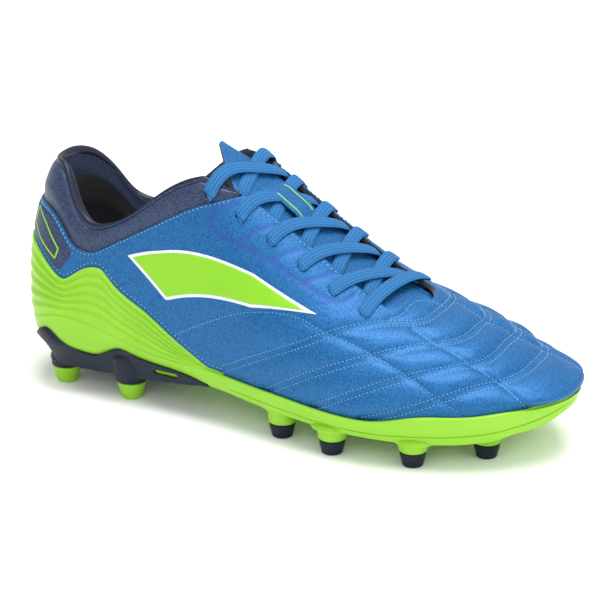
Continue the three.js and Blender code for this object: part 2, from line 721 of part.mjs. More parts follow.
function buildHeelFrame() {
  const rows = STATIONS.filter((share) => share <= FRAME_END).map((share) => {
    const start = frameLevel(share);
    const levels = [start, Math.max(1, start), Math.max(2, start), 3, 4];
    const half = (extra, drop) => (side) => levels.map((level) => {
      const point = soleFace(share, side, level, extra);
      point.z -= level >= 3 ? drop : 0;
      return point;
    });
    const under = rimHeight(share) - RIM_CHAMFER;
    const near = { extra: CLEAR, drop: CLEAR };
    const far = { extra: CLEAR + FRAME_THICKNESS, drop: CLEAR + FRAME_THICKNESS };
    const centre = (drop) => outlinePoint(share, OUTER, UNDERSIDE_OUT, under - drop, 0);
    return {
      folded: isTip(share),
      outer: crossSection(half(far.extra, far.drop), centre(far.drop)),
      inner: crossSection(half(near.extra, near.drop), centre(near.drop)),
    };
  });
  let solid = toSolid(sheetSolid(rows));
  const forkX = FORK_START * LAST_LENGTH;
  const frontX = LAST_LENGTH / 2;
  const forkHalf = halfWidth(FORK_START, INNER) - FORK_RAIL;
  const forkMid = middle(FORK_START);
  solid = solid.subtract(boxBetween(forkX, frontX, forkMid - forkHalf, forkMid + forkHalf, 0, FEATHER_HEIGHT * 2));
  const slotShare = (SLOT.from + SLOT.to) / 2;
  const slotZ = feather(slotShare) - SLOT.over * SIDE_WALL;
  solid = solid.subtract(boxBetween(
    SLOT.from * LAST_LENGTH,
    SLOT.to * LAST_LENGTH,
    -BALL_WIDTH,
    BALL_WIDTH,
    slotZ - SLOT.height / 2,
    slotZ + SLOT.height / 2,
  ));
  for (const place of HEEL_STUDS) {
    const top = rimHeight(place.at) - RIM_CHAMFER - CLEAR - FRAME_THICKNESS / 2;
    const foot = HEEL_TIP_HEIGHT + CLEAR;
    solid = solid.add(toSolid(stud(place, foot, top, HEEL_TIP_TOP, HEEL_BASE_TOP)));
  }
  return toGeometry(solid);
}

function buildInsole() {
  const out = -(WALL + CLEAR);
  const reach = 1 - INSOLE_TOE_GAP / LAST_LENGTH;
  const rows = STATIONS.map((whole) => {
    const share = whole * reach;
    const toe = clamp(((1 - whole) * LAST_LENGTH) / INSOLE_TOE_ROUND, 0, 1);
    const round = (1 - (1 - toe) ** TOE_POWER) ** (1 / TOE_POWER);
    const low = feather(share) + CLEAR / 2;
    const path = (z) => crossSection(
      (side) => [outlinePoint(share, side, out, z, round)],
      outlinePoint(share, OUTER, out, z, 0),
    );
    return { folded: isTip(whole), outer: path(low + INSOLE_THICKNESS), inner: path(low) };
  });
  return sheetSolid(rows);
}

function tongueHalf(share) {
  const t = clamp((share - TONGUE_FROM) / (TONGUE_WIDE_AT - TONGUE_FROM), 0, 1);
  return mix(TONGUE_TOP_WIDTH, TONGUE_WIDTH, t * t) / 2;
}

function acrossPath(share, half, count, out) {
  const side = (sign) => spread(1, 0, count).slice(0, -1).map((t) => {
    return lastPoint(share, angleAtHalf(share, half * t, sign), sign, out);
  });
  return crossSection(side, lastPoint(share, QUARTER, OUTER, out));
}

function buildTongue() {
  const top = -(WALL + TONGUE_CLEAR);
  const rows = stationsBetween(TONGUE_FROM, TONGUE_TO).map((share) => ({
    outer: acrossPath(share, tongueHalf(share), DIVISIONS.tongue, top),
    inner: acrossPath(share, tongueHalf(share), DIVISIONS.tongue, top - TONGUE_THICKNESS),
  }));
  return sheetSolid(rows);
}

function buildTongueLoop() {
  const foot = CLEAR - (WALL + TONGUE_CLEAR);
  const ends = LOOP_LENGTH / 2 / LAST_LENGTH;
  const rows = spread(LOOP_AT - ends, LOOP_AT + ends, 2).map((share) => ({
    outer: acrossPath(share, LOOP_WIDTH / 2, DIVISIONS.loop, foot + LOOP_THICKNESS),
    inner: acrossPath(share, LOOP_WIDTH / 2, DIVISIONS.loop, foot),
  }));
  return sheetSolid(rows);
}

// Point of the last's skin, out millimetres outside it, over a place in plan ahead of the heel
function overLast(x, y, out) {
  const share = (x + out) / (LAST_LENGTH + 2 * out);
  const side = y < middle(share) ? OUTER : INNER;
  const half = Math.abs(y - middle(share));
  const ratio = clamp(half / ((halfWidth(share, side) + out) * endRound(share)), 0, 1);
  return lastPoint(share, Math.acos(ratio ** (1 / section.peak(share))), side, out);
}

// A flat lace laid over the tongue from one eyelet to another, lifted in its middle where it rides on its pair
function laceStrip(from, to, lift) {
  const start = lastPoint(from.share, from.angle, from.side, 0);
  const run = lastPoint(to.share, to.angle, to.side, 0).sub(start);
  const across = new THREE.Vector2(-run.y, run.x).normalize().multiplyScalar(LACE_WIDTH / 2);
  const rows = spread(0, 1, DIVISIONS.lace).map((t) => {
    const base = LACE_LIFT + lift * Math.sin(Math.PI * t);
    const edge = (out, sign) => {
      const x = start.x + run.x * t + sign * across.x;
      const y = start.y + run.y * t + sign * across.y;
      return overLast(x, y, base + out);
    };
    return {
      outer: [edge(LACE_THICKNESS, -1), edge(LACE_THICKNESS, 1)],
      inner: [edge(0, -1), edge(0, 1)],
    };
  });
  return toSolid(sheetSolid(rows));
}

function buildLaces() {
  const bottom = EYELET_PAIRS - 1;
  let solid = laceStrip(eyeletPlace(bottom, OUTER), eyeletPlace(bottom, INNER), 0);
  for (let k = bottom; k > 0; k--) {
    const under = laceStrip(eyeletPlace(k, OUTER), eyeletPlace(k - 1, INNER), 0);
    const over = laceStrip(eyeletPlace(k, INNER), eyeletPlace(k - 1, OUTER), LACE_RIDE);
    solid = solid.add(under).add(over);
  }
  return toGeometry(solid);
}

const finish = {
  blue: new THREE.MeshStandardMaterial({ color: COLOURS.blue, roughness: 0.45, metalness: 0 }),
  navy: new THREE.MeshStandardMaterial({ color: COLOURS.navy, roughness: 0.5, metalness: 0 }),
  lime: new THREE.MeshStandardMaterial({ color: COLOURS.lime, roughness: 0.4, metalness: 0 }),
  lace: new THREE.MeshStandardMaterial({ color: COLOURS.lace, roughness: 0.9, metalness: 0 }),
  insole: new THREE.MeshStandardMaterial({ color: COLOURS.insole, roughness: 0.9, metalness: 0 }),
};

const group = new THREE.Group();

function place(name, geometry, material) {
  const mesh = new THREE.Mesh(geometry, material);
  mesh.name = name;
  group.add(mesh);
}

place('upper', buildUpper(), finish.blue);
place('collar', buildCollar(), finish.navy);
place('heel_patch', buildPatch(), finish.navy);
place('heel_counter', buildCounter(), finish.lime);
place('outsole', buildOutsole(), finish.lime);
place('heel_frame', buildHeelFrame(), finish.navy);
place('insole', buildInsole(), finish.insole);
place('tongue', buildTongue(), finish.blue);
place('tongue_loop', buildTongueLoop(), finish.navy);
place('laces', buildLaces(), finish.lace);
for (const spot of FOREFOOT_STUDS) {
  const tip = stud(spot, 0, FOREFOOT_TIP_HEIGHT, FOREFOOT_TIP_DIAMETER, FOREFOOT_TIP_TOP);
  place(`stud_tip_forefoot_${spot.name}`, toGeometry(toSolid(tip)), finish.navy);
}
for (const spot of HEEL_STUDS) {
  const tip = stud(spot, 0, HEEL_TIP_HEIGHT, HEEL_TIP_DIAMETER, HEEL_TIP_TOP);
  place(`stud_tip_heel_${spot.name}`, toGeometry(toSolid(tip)), finish.lime);
}

// The origin lies on the floor under the middle of the boot's box
const box = new THREE.Box3().setFromObject(group);
const centre = box.getCenter(new THREE.Vector3());
group.position.set(-centre.x, -centre.y, -box.min.z);
group.updateMatrixWorld(true);

export default group;
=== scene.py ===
# Right football boot: the looks of each piece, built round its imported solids
import bpy
import bmesh
import numpy as np
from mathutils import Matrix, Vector
from mathutils.kdtree import KDTree


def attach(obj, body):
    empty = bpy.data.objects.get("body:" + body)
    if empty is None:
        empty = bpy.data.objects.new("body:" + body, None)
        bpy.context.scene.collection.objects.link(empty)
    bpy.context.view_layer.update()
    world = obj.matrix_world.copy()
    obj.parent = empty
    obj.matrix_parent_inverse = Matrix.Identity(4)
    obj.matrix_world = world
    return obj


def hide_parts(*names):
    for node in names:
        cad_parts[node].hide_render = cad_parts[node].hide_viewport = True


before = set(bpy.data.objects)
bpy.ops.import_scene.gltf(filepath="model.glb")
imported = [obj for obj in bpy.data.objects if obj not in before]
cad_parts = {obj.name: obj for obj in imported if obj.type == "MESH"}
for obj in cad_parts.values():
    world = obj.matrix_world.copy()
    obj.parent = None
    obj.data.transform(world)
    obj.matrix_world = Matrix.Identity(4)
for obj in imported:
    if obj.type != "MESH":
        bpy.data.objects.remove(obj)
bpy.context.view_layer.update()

# Driving sizes of the last in millimetres, x from the heel's back, y to the inner side, z up
LAST_LENGTH = 281.0
BALL_WIDTH = 104.0
INSTEP_RISE = 89.0
ANKLE_RISE = 96.0
TOE_SPRING = 16.0
BILGE_HEIGHT = 16.0
HEEL_ROUND = 34.0
TOE_ROUND = 50.0
HEEL_POWER = 2.2
TOE_POWER = 2.1
LEAN_REACH = 70.0
HEEL_TO_ORIGIN = 140.432
MIDDLE_TO_ORIGIN = 1.199

# Driving sizes of the upper
WALL = 2.0
CLEAR = 0.4
THROAT_WIDTH = 36.0
EYELET_PAIRS = 6
EYELET_DIAMETER = 4.6
EYELET_SPREAD = 54.0
FIRST_EYELET = {-1: 0.382, 1: 0.398}
LAST_EYELET = {-1: 0.661, 1: 0.687}
COLLAR_PADDING = 5.6
COLLAR_PROUD = 0.6
PATCH_END = 0.123
COUNTER_END = 0.392
COUNTER_THICKNESS = 0.9
RIB_COUNT = 6
RIB_HEIGHT = 0.8
TONGUE_FROM = 0.348
TONGUE_TO = 0.745
TONGUE_WIDE_AT = 0.45
TONGUE_THICKNESS = 4.0
TONGUE_CLEAR = 1.5
TONGUE_WIDTH = 44.0
LACE_WIDTH = 6.6
LACE_THICKNESS = 1.3

# Driving sizes of the sole
TREAD_HEIGHT = 13.0
PLATE_THICKNESS = 3.0
SIDE_WALL = 12.0
WALL_THICKNESS = 1.6
RIM_INSET = 1.2
RIM_SLOPE = 3.5
RIM_CHAMFER = 0.8
WALL_TURN = 0.3
FRAME_THICKNESS = 1.4
FRAME_END = 0.395
FORK_START = 0.27
FORK_RAIL = 10.0
INSOLE_THICKNESS = 3.0
INSOLE_TOE_GAP = 10.0
INSOLE_TOE_ROUND = 35.0
FEATHER_HEIGHT = TREAD_HEIGHT + PLATE_THICKNESS
UNDERSIDE_OUT = CLEAR + WALL_THICKNESS - RIM_INSET - RIM_SLOPE

QUARTER = np.pi / 2
OUTER = -1
INNER = 1
FINE = 1.0

# Sections of the last: at, mid, outer, inner, spring, crown, peak, tuck
SECTIONS = [
    (0.00, 0.000, 0.317, 0.317, 0.06, 1.378, 1.00, 0.15),
    (0.08, 0.000, 0.327, 0.327, 0.06, 1.378, 1.00, 0.14),
    (0.18, 0.000, 0.327, 0.327, 0.12, 1.378, 0.75, 0.12),
    (0.28, 0.005, 0.341, 0.327, 0.31, 1.378, 0.50, 0.08),
    (0.38, 0.014, 0.375, 0.341, 0.38, 1.224, 0.50, 0.05),
    (0.48, 0.029, 0.442, 0.372, 0.25, 1.000, 0.60, 0.05),
    (0.58, 0.043, 0.510, 0.413, 0.06, 0.794, 0.80, 0.07),
    (0.68, 0.053, 0.548, 0.457, 0.00, 0.611, 1.00, 0.08),
    (0.78, 0.048, 0.500, 0.452, 0.06, 0.493, 1.00, 0.08),
    (0.88, 0.040, 0.404, 0.404, 0.25, 0.381, 1.00, 0.09),
    (0.95, 0.038, 0.345, 0.360, 0.56, 0.316, 1.00, 0.10),
    (1.00, 0.038, 0.308, 0.327, 0.95, 0.280, 1.00, 0.12),
]
# Lean of the heel's back: up, lean
BACK_LEAN = [(0.000, 0.230), (0.260, 0.030), (0.525, 0.024), (0.755, 0.162), (0.985, 0.426)]
# Rim of the collar: at, outer, inner
TOPLINE = [
    (0.000, 1.005, 1.005),
    (0.040, 1.017, 0.962),
    (0.070, 0.995, 0.901),
    (0.096, 0.927, 0.825),
    (0.120, 0.844, 0.748),
    (0.145, 0.776, 0.709),
    (0.170, 0.759, 0.698),
    (0.200, 0.781, 0.713),
    (0.238, 0.844, 0.781),
    (0.281, 0.948, 0.896),
    (0.345, 1.063, 1.042),
    (0.400, 1.083, 1.083),
    (0.500, 1.083, 1.083),
]
# Seam between the collar and the upper: at, up
COLLAR_SEAM = [
    (0.000, 0.781),
    (0.050, 0.781),
    (0.075, 0.755),
    (0.100, 0.698),
    (0.120, 0.635),
    (0.140, 0.607),
    (0.165, 0.609),
    (0.190, 0.646),
    (0.230, 0.714),
    (0.300, 0.833),
    (0.360, 0.927),
    (0.430, 0.984),
    (0.500, 1.010),
]
# Heel patch: at, low, high
PATCH = [
    (0.000, 0.630, 0.750),
    (0.036, 0.609, 0.751),
    (0.057, 0.573, 0.745),
    (0.085, 0.510, 0.703),
    (0.100, 0.487, 0.660),
    (0.112, 0.526, 0.623),
    (0.123, 0.566, 0.586),
]
# Top of the heel counter: at, up
COUNTER_TOP = [
    (0.000, 0.588),
    (0.035, 0.568),
    (0.060, 0.526),
    (0.085, 0.474),
    (0.110, 0.441),
    (0.130, 0.469),
    (0.150, 0.510),
    (0.170, 0.529),
    (0.185, 0.521),
    (0.200, 0.479),
    (0.230, 0.411),
    (0.270, 0.349),
    (0.310, 0.271),
    (0.345, 0.208),
    (0.395, 0.133),
]
# Half the throat: at, outer, inner
THROAT = [
    (0.36, 0.70, 0.68),
    (0.40, 0.66, 0.60),
    (0.45, 0.60, 0.52),
    (0.53, 0.57, 0.48),
    (0.60, 0.60, 0.44),
    (0.66, 0.62, 0.42),
    (0.74, 0.66, 0.42),
]
# Side of the sole: at, bite, rim
SOLE_SIDE = [
    (0.000, 1.25, 0.20),
    (0.030, 1.38, 0.20),
    (0.080, 1.83, 0.21),
    (0.125, 1.92, 0.24),
    (0.165, 1.73, 0.27),
    (0.210, 1.36, 0.32),
    (0.285, 0.69, 0.40),
    (0.390, 0.46, 0.25),
    (0.480, 0.50, 0.27),
    (0.560, 0.62, 0.22),
    (0.670, 0.60, 0.22),
    (0.720, 0.64, 0.25),
    (0.780, 0.88, 0.33),
    (0.865, 0.80, 0.42),
    (0.950, 0.60, 0.42),
    (1.000, 0.20, 0.17),
]
# Edge of the heel frame on the side of the sole, lower round the heel's back than on the solid: at, top
FRAME_EDGE = [
    (0.000, 0.05),
    (0.025, 0.25),
    (0.045, 0.85),
    (0.065, 1.20),
    (0.085, 1.22),
    (0.105, 0.90),
    (0.130, 0.60),
    (0.155, 0.46),
    (0.180, 0.44),
    (0.200, 0.62),
    (0.222, 0.80),
    (0.250, 0.58),
    (0.290, 0.28),
    (0.340, 0.08),
    (0.400, -0.24),
]
# Studs: at, side, out, as on the solids
FOREFOOT_STUDS = {
    "outer_1": (0.527, OUTER, 0.78),
    "outer_2": (0.630, OUTER, 0.84),
    "outer_3": (0.769, OUTER, 0.82),
    "outer_4": (0.865, OUTER, 0.44),
    "inner_1": (0.545, INNER, 0.74),
    "inner_2": (0.650, INNER, 0.80),
    "inner_3": (0.769, INNER, 0.80),
    "inner_4": (0.865, INNER, 0.44),
}
HEEL_STUDS = {
    "outer_rear": (0.085, OUTER, 0.60),
    "outer_front": (0.222, OUTER, 0.73),
    "inner_rear": (0.085, INNER, 0.60),
    "inner_front": (0.222, INNER, 0.73),
}


def spline(table, index):
    """Natural cubic curve through one column of a table, over its first column"""
    xs = np.array([row[0] for row in table])
    ys = np.array([row[index] for row in table])
    step = np.diff(xs)
    size = len(xs)
    matrix = np.eye(size)
    right = np.zeros(size)
    for i in range(1, size - 1):
        matrix[i, i - 1:i + 2] = step[i - 1], 2 * (step[i - 1] + step[i]), step[i]
        right[i] = 6 * ((ys[i + 1] - ys[i]) / step[i] - (ys[i] - ys[i - 1]) / step[i - 1])
    bend = np.linalg.solve(matrix, right)

    def value(at):
        x = np.clip(at, xs[0], xs[-1])
        i = np.clip(np.searchsorted(xs, x) - 1, 0, size - 2)
        before = xs[i + 1] - x
        after = x - xs[i]
        h = step[i]
        cubic = (bend[i] * before**3 + bend[i + 1] * after**3) / (6 * h)
        left = (ys[i] / h - bend[i] * h / 6) * before
        return cubic + left + (ys[i + 1] / h - bend[i + 1] * h / 6) * after

    return value


MID, OUTER_HALF, INNER_HALF, SPRING, CROWN, PEAK, TUCK = (spline(SECTIONS, i) for i in range(1, 8))
LEAN = spline(BACK_LEAN, 1)
RIM = {OUTER: spline(TOPLINE, 1), INNER: spline(TOPLINE, 2)}
SEAM_UP = spline(COLLAR_SEAM, 1)
PATCH_LOW = spline(PATCH, 1)
PATCH_HIGH = spline(PATCH, 2)
COUNTER_UP = spline(COUNTER_TOP, 1)
THROAT_HALF = {OUTER: spline(THROAT, 1), INNER: spline(THROAT, 2)}
BITE = spline(SOLE_SIDE, 1)
RIM_DROP = spline(SOLE_SIDE, 2)
FRAME_TOP = spline(FRAME_EDGE, 1)


def mix(a, b, t):
    return a + (b - a) * t


def ease(value, low, high):
    """Runs softly from 0 at low to 1 at high"""
    t = np.clip((value - low) / (high - low), 0, 1)
    return t * t * (3 - 2 * t)


def quarter_circle(t):
    """Rises steeply from 0 and rounds off to 1, as the quarter of a circle does"""
    return np.sqrt(1 - (1 - np.clip(t, 0, 1)) ** 2)


def bell(value, width):
    """1 at 0, and softly down to nothing a few widths off"""
    return np.exp(-((value / width) ** 2))


def unit(vectors):
    """The same directions, each one long"""
    return vectors / np.maximum(np.linalg.norm(vectors, axis=-1, keepdims=True), 1e-12)


def end_round(share):
    heel = np.clip(share * LAST_LENGTH / HEEL_ROUND, 0, 1)
    toe = np.clip((1 - share) * LAST_LENGTH / TOE_ROUND, 0, 1)
    back = (1 - (1 - heel) ** HEEL_POWER) ** (1 / HEEL_POWER)
    return back * (1 - (1 - toe) ** TOE_POWER) ** (1 / TOE_POWER)


def toe_round(share):
    return quarter_circle((1 - share) * LAST_LENGTH / TOE_ROUND)


def middle(share):
    return MID(share) * BALL_WIDTH


def half_width(share, side):
    return np.where(np.asarray(side) < 0, OUTER_HALF(share), INNER_HALF(share)) * BALL_WIDTH


def feather(share):
    return FEATHER_HEIGHT + SPRING(share) * TOE_SPRING


def crown_height(share):
    return FEATHER_HEIGHT + CROWN(share) * INSTEP_RISE


def bilge_under(rise):
    return BILGE_HEIGHT * rise / (BILGE_HEIGHT + rise)


def ankle_height(up):
    return FEATHER_HEIGHT + up * ANKLE_RISE


def along(share, z, out):
    reach = np.maximum(0, 1 - share * LAST_LENGTH / LEAN_REACH) ** 2
    lean = LEAN((z - feather(share)) / ANKLE_RISE) * HEEL_ROUND * reach
    return share * (LAST_LENGTH + 2 * out) - out + lean


def last_point(share, angle, side, out=0.0):
    """Points of the last's skin, out millimetres outside it, as the solids have them"""
    share, angle, side, out = np.broadcast_arrays(
        *(np.asarray(value, float) for value in (share, angle, side, out)))
    half = (half_width(share, side) + out) * end_round(share)
    tall = toe_round(share)
    low = feather(share)
    over = crown_height(share) + out - low
    rise = over * tall
    bilge = bilge_under(over) * tall
    turn = np.clip(angle, 0, QUARTER)
    high = angle >= 0
    y_high = half * np.maximum(0, np.cos(turn)) ** PEAK(share)
    y = np.where(high, y_high, half * (1 - TUCK(share) * angle * angle))
    z = np.where(high, low + bilge + (rise - bilge) * np.sin(turn), low + bilge * (1 + angle))
    return np.stack([along(share, z, out), middle(share) + side * y, z], -1)


def angle_at_height(share, z):
    share, z = np.broadcast_arrays(np.asarray(share, float), np.asarray(z, float))
    tall = toe_round(share)
    low = feather(share)
    whole = crown_height(share) - low
    rise = whole * tall
    bilge = bilge_under(whole) * tall
    over = z - low
    below = np.maximum(-1, over / np.maximum(bilge, 1e-9) - 1)
    above = np.arcsin(np.clip((over - bilge) / np.maximum(rise - bilge, 1e-6), 0, 1))
    return np.where(over < bilge, below, above)


def angle_at_half(share, half, side):
    ratio = np.clip(half / np.maximum(half_width(share, side) * end_round(share), 1e-9), 0, 1)
    return np.arccos(ratio ** (1 / PEAK(share)))


def smooth_through(xs, ys, t):
    """Cubic through points that never runs past them"""
    xs = np.asarray(xs, float)
    ys = np.asarray(ys, float)
    slope = np.diff(ys) / np.diff(xs)
    total = slope[:-1] + slope[1:]
    both = slope[:-1] * slope[1:]
    bend = np.zeros(len(xs))
    bend[1:-1] = np.where(both > 0, 2 * both / np.where(total == 0, 1, total), 0)
    i = np.clip(np.searchsorted(xs, t) - 1, 0, len(xs) - 2)
    h = xs[i + 1] - xs[i]
    f = np.clip((t - xs[i]) / h, 0, 1)
    return ((2 * f**3 - 3 * f**2 + 1) * ys[i] + (f**3 - 2 * f**2 + f) * h * bend[i]
            + (3 * f**2 - 2 * f**3) * ys[i + 1] + (f**3 - f**2) * h * bend[i + 1])


# Front end of the throat: at, and what is left of its half width; the tab of the vamp stands into it
# on the outer side, and a slit runs on along the inner side
THROAT_FRONT = {
    OUTER: [(0.680, 1.00), (0.690, 0.97), (0.700, 0.84), (0.7045, 0.50), (0.709, 0.27), (0.7155, 0.12),
            (0.722, 0.00)],
    INNER: [(0.690, 1.00), (0.705, 0.95), (0.718, 0.80), (0.728, 0.52), (0.735, 0.00)],
}
THROAT_CLOSE = THROAT_FRONT[INNER][-1][0]


def throat_angle(share, side):
    share = np.asarray(share, float)
    outer = np.asarray(side) < 0
    wide = np.where(outer, THROAT_HALF[OUTER](share), THROAT_HALF[INNER](share))
    left = np.where(outer, *(smooth_through(*zip(*THROAT_FRONT[one]), share) for one in (OUTER, INNER)))
    left = np.where(left < 0.002, 0.0, left)
    closed = (share >= THROAT_CLOSE) | (share < THROAT[0][0])
    return np.where(closed, QUARTER, angle_at_half(share, wide * THROAT_WIDTH * left, side))


def collar_seam_angle(share):
    beyond = np.asarray(share) >= COLLAR_SEAM[-1][0]
    return np.where(beyond, QUARTER, angle_at_height(share, ankle_height(SEAM_UP(share))))


def upper_edge(share, side):
    return np.minimum(collar_seam_angle(share), throat_angle(share, side))


def collar_top(share, side):
    up = np.where(np.asarray(side) < 0, RIM[OUTER](share), RIM[INNER](share))
    return np.minimum(angle_at_height(share, ankle_height(up)), throat_angle(share, side))


def bite_height(share):
    return feather(share) + BITE(share) * SIDE_WALL


def rim_height(share):
    return feather(share) - RIM_DROP(share) * SIDE_WALL


def over_last(x, y, out):
    """Point of the skin over a place in plan, ahead of the heel"""
    x, y, out = np.broadcast_arrays(*(np.asarray(value, float) for value in (x, y, out)))
    share = (x + out) / (LAST_LENGTH + 2 * out)
    side = np.where(y < middle(share), OUTER, INNER)
    half = np.abs(y - middle(share))
    wide = (half_width(share, side) + out) * end_round(share)
    ratio = np.clip(half / wide, 0, 1)
    return last_point(share, np.arccos(ratio ** (1 / PEAK(share))), side, out)


def outward(share, angle, side, out=0.0):
    """Unit vectors out of the skin"""
    tiny = 1e-3
    forward = last_point(share + tiny, angle, side, out) - last_point(share - tiny, angle, side, out)
    upward = last_point(share, angle + tiny, side, out) - last_point(share, angle - tiny, side, out)
    return unit(np.cross(forward, upward) * -np.asarray(side, float)[..., None])


# Seams in the last's own measure, each row a share of the length and a turn up the side in radians
DOUBLE_SEAMS = {
    "toe": [(0.696, -0.45), (0.767, 0.05), (0.822, 0.27), (0.853, 0.45), (0.881, 0.64),
            (0.899, 0.80), (0.912, 1.01), (0.920, 1.30), (0.921, QUARTER)],
    "toe_base": [(0.609, -0.38), (0.678, 0.15), (0.735, 0.38), (0.779, 0.56), (0.809, 0.69),
                 (0.838, 0.85), (0.859, 1.01), (0.869, 1.23), (0.870, QUARTER)],
    "ball": [(0.513, -0.55), (0.608, 0.22), (0.669, 0.47), (0.714, 0.67), (0.761, 0.89),
             (0.791, 1.04), (0.810, 1.18), (0.819, 1.32), (0.821, QUARTER)],
    "waist": [(0.415, -0.52), (0.504, 0.14), (0.599, 0.50), (0.638, 0.70), (0.666, 0.84),
              (0.708, 1.03), (0.745, 1.20), (0.756, 1.41), (0.758, QUARTER)],
}
SINGLE_SEAMS = {
    "side": [(0.326, 0.05), (0.401, 0.20), (0.458, 0.35), (0.513, 0.49), (0.570, 0.60), (0.608, 0.61),
             (0.652, 0.64), (0.700, 0.62), (0.757, 0.52), (0.814, 0.29), (0.849, 0.06)],
    "vamp": [(0.738, 1.07), (0.781, 1.01), (0.816, 0.97), (0.850, 0.90), (0.897, 0.75), (0.943, 0.12)],
}
CENTRE_SEAM = [(0.756, 1.34), (0.792, 1.36), (0.822, 1.38), (0.850, 1.32), (0.875, 1.25), (0.905, 1.10),
               (0.936, 0.98), (0.965, 0.80), (0.982, 0.40)]
TAB_SEAM = [(0.699, 1.06), (0.7045, 1.09), (0.711, 1.15), (0.7135, 1.25), (0.716, 1.37), (0.723, 1.46),
            (0.735, 1.52), (0.748, 1.555)]
# Embossed lines round the eyelets, and the cross lines from them to the throat
LOOP_LINE = [(0.433, 1.14), (0.412, 1.02), (0.396, 0.92), (0.387, 0.84), (0.397, 0.79), (0.440, 0.81),
             (0.500, 0.87), (0.560, 0.89), (0.605, 0.90), (0.622, 0.93), (0.632, 1.01), (0.638, 1.09)]
CROSS_LINES = [
    [(0.440, 0.82), (0.493, 1.23)],
    [(0.501, 0.88), (0.548, 1.24)],
    [(0.562, 0.90), (0.597, 1.17)],
]
SEAM_STEP = 0.5


def arc(points):
    """Distance in millimetres along a row of points"""
    return np.concatenate([[0], np.cumsum(np.linalg.norm(np.diff(points, axis=0), axis=1))])


def climb(share, angle):
    """Millimetres up the side that a turn stands for, even across the fold at turn 0"""
    over = crown_height(share) - feather(share)
    bilge = bilge_under(over) * toe_round(share)
    return angle * np.where(angle < 0, bilge, over * toe_round(share) - bilge)


def turn_at(share, rise):
    over = crown_height(share) - feather(share)
    bilge = bilge_under(over) * toe_round(share)
    return np.minimum(rise / np.where(rise < 0, bilge, over * toe_round(share) - bilge), QUARTER)


def seam_line(points, side, step=SEAM_STEP):
    """Places of a smooth line through given points, evenly spaced on the skin"""
    points = np.array(points, float)
    measure = arc(last_point(points[:, 0], points[:, 1], side))
    table = [(d, p[0], float(climb(p[0], p[1]))) for d, p in zip(measure, points)]
    fine = np.linspace(0, measure[-1], 400)
    share = spline(table, 1)(fine)
    angle = turn_at(share, spline(table, 2)(fine))
    length = arc(last_point(share, angle, side))
    even = np.linspace(0, length[-1], max(2, int(length[-1] / step)))
    return np.interp(even, length, share), np.interp(even, length, angle)


def shifted(line, side, offset):
    """The same line, offset millimetres to its left on the skin"""
    share, angle = line
    tiny = 1e-3
    low = np.minimum(angle, QUARTER - 0.02)
    rise = climb(share, low)
    run = np.gradient(last_point(share, angle, side), axis=0)
    across = unit(np.cross(outward(share, low, side), run))

    def skin_at(s, up):
        return last_point(s, turn_at(s, up), side)

    by_share = (skin_at(share + tiny, rise) - skin_at(share - tiny, rise)) / (2 * tiny)
    by_angle = (skin_at(share, rise + 0.2) - skin_at(share, rise - 0.2)) / 0.4
    a = (by_share**2).sum(1)
    b = (by_share * by_angle).sum(1)
    c = (by_angle**2).sum(1)
    p = (by_share * across).sum(1)
    q = (by_angle * across).sum(1)
    area = a * c - b * b
    moved = share + offset * (c * p - b * q) / area
    up = climb(share, angle) + offset * (a * q - b * p) / area
    return moved, turn_at(moved, up)


def edge_line(edge, side, start, end, drop, step=SEAM_STEP):
    """Line that follows an edge of the upper, drop millimetres below it"""
    share = np.linspace(start, end, 400)
    top = edge(share)
    rise = climb(share, top)
    under = last_point(share, turn_at(share, rise - 1), side)
    one = np.linalg.norm(last_point(share, top, side) - under, axis=1)
    angle = turn_at(share, rise - drop / np.clip(one, 0.6, 1.6))
    length = arc(last_point(share, angle, side))
    even = np.linspace(0, length[-1], max(2, int(length[-1] / step)))
    return np.interp(even, length, share), np.interp(even, length, angle)


def tree_of(lines):
    """Search tree of the points of some lines, each a side with its places"""
    points = np.concatenate([last_point(share, angle, side) for side, (share, angle) in lines])
    tree = KDTree(len(points))
    for i, point in enumerate(points):
        tree.insert(point, i)
    tree.balance()
    return tree


def distance(tree, points):
    flat = points.reshape(-1, 3)
    found = np.array([tree.find(point)[2] for point in flat.tolist()])
    return found.reshape(points.shape[:-1])


def on_both_sides(rows):
    return [(side, seam_line(row, side)) for side in (OUTER, INNER) for row in rows]


double_tree = tree_of(on_both_sides(DOUBLE_SEAMS.values()))
single_tree = tree_of([
    *on_both_sides(SINGLE_SEAMS.values()),
    (INNER, seam_line(CENTRE_SEAM, INNER)),
    (OUTER, seam_line(TAB_SEAM, OUTER)),
])
printed_tree = tree_of(on_both_sides([LOOP_LINE, *CROSS_LINES]))

# Relief of the upper in millimetres: padding between seams, troughs along them, embossed lines
PUFF = 0.9
PUFF_REACH = 6.5
DOUBLE_TROUGH = 1.0
DOUBLE_TROUGH_WIDTH = 2.5
DOUBLE_RIDGE = 0.3
DOUBLE_RIDGE_WIDTH = 0.9
SINGLE_TROUGH = 0.75
SINGLE_TROUGH_WIDTH = 1.5
PRINT_DEPTH = 0.3
PRINT_REACH = 1.05
PRINT_INK = 0.75
# How far the finished toe is fuller over the wall than the solid, drawn in at the wall, and lower there
TOE_FULL = 3.0
TOE_PULL = 2.4
TOE_LOWER = 2.8


def wall_top(share):
    """Height of the finished wall, a little lower round the toe than on the solid"""
    return bite_height(share) - TOE_LOWER * ease(share, 0.90, 0.98)


def toe_pull(share):
    """How far the toe's lower edge lies inside the solid's"""
    return TOE_PULL * ease(share, 0.90, 0.985)


def printed_share(points):
    """How deep in an embossed line each point lies, from 0 to 1"""
    return np.exp(-((distance(printed_tree, points) / PRINT_REACH) ** 4))


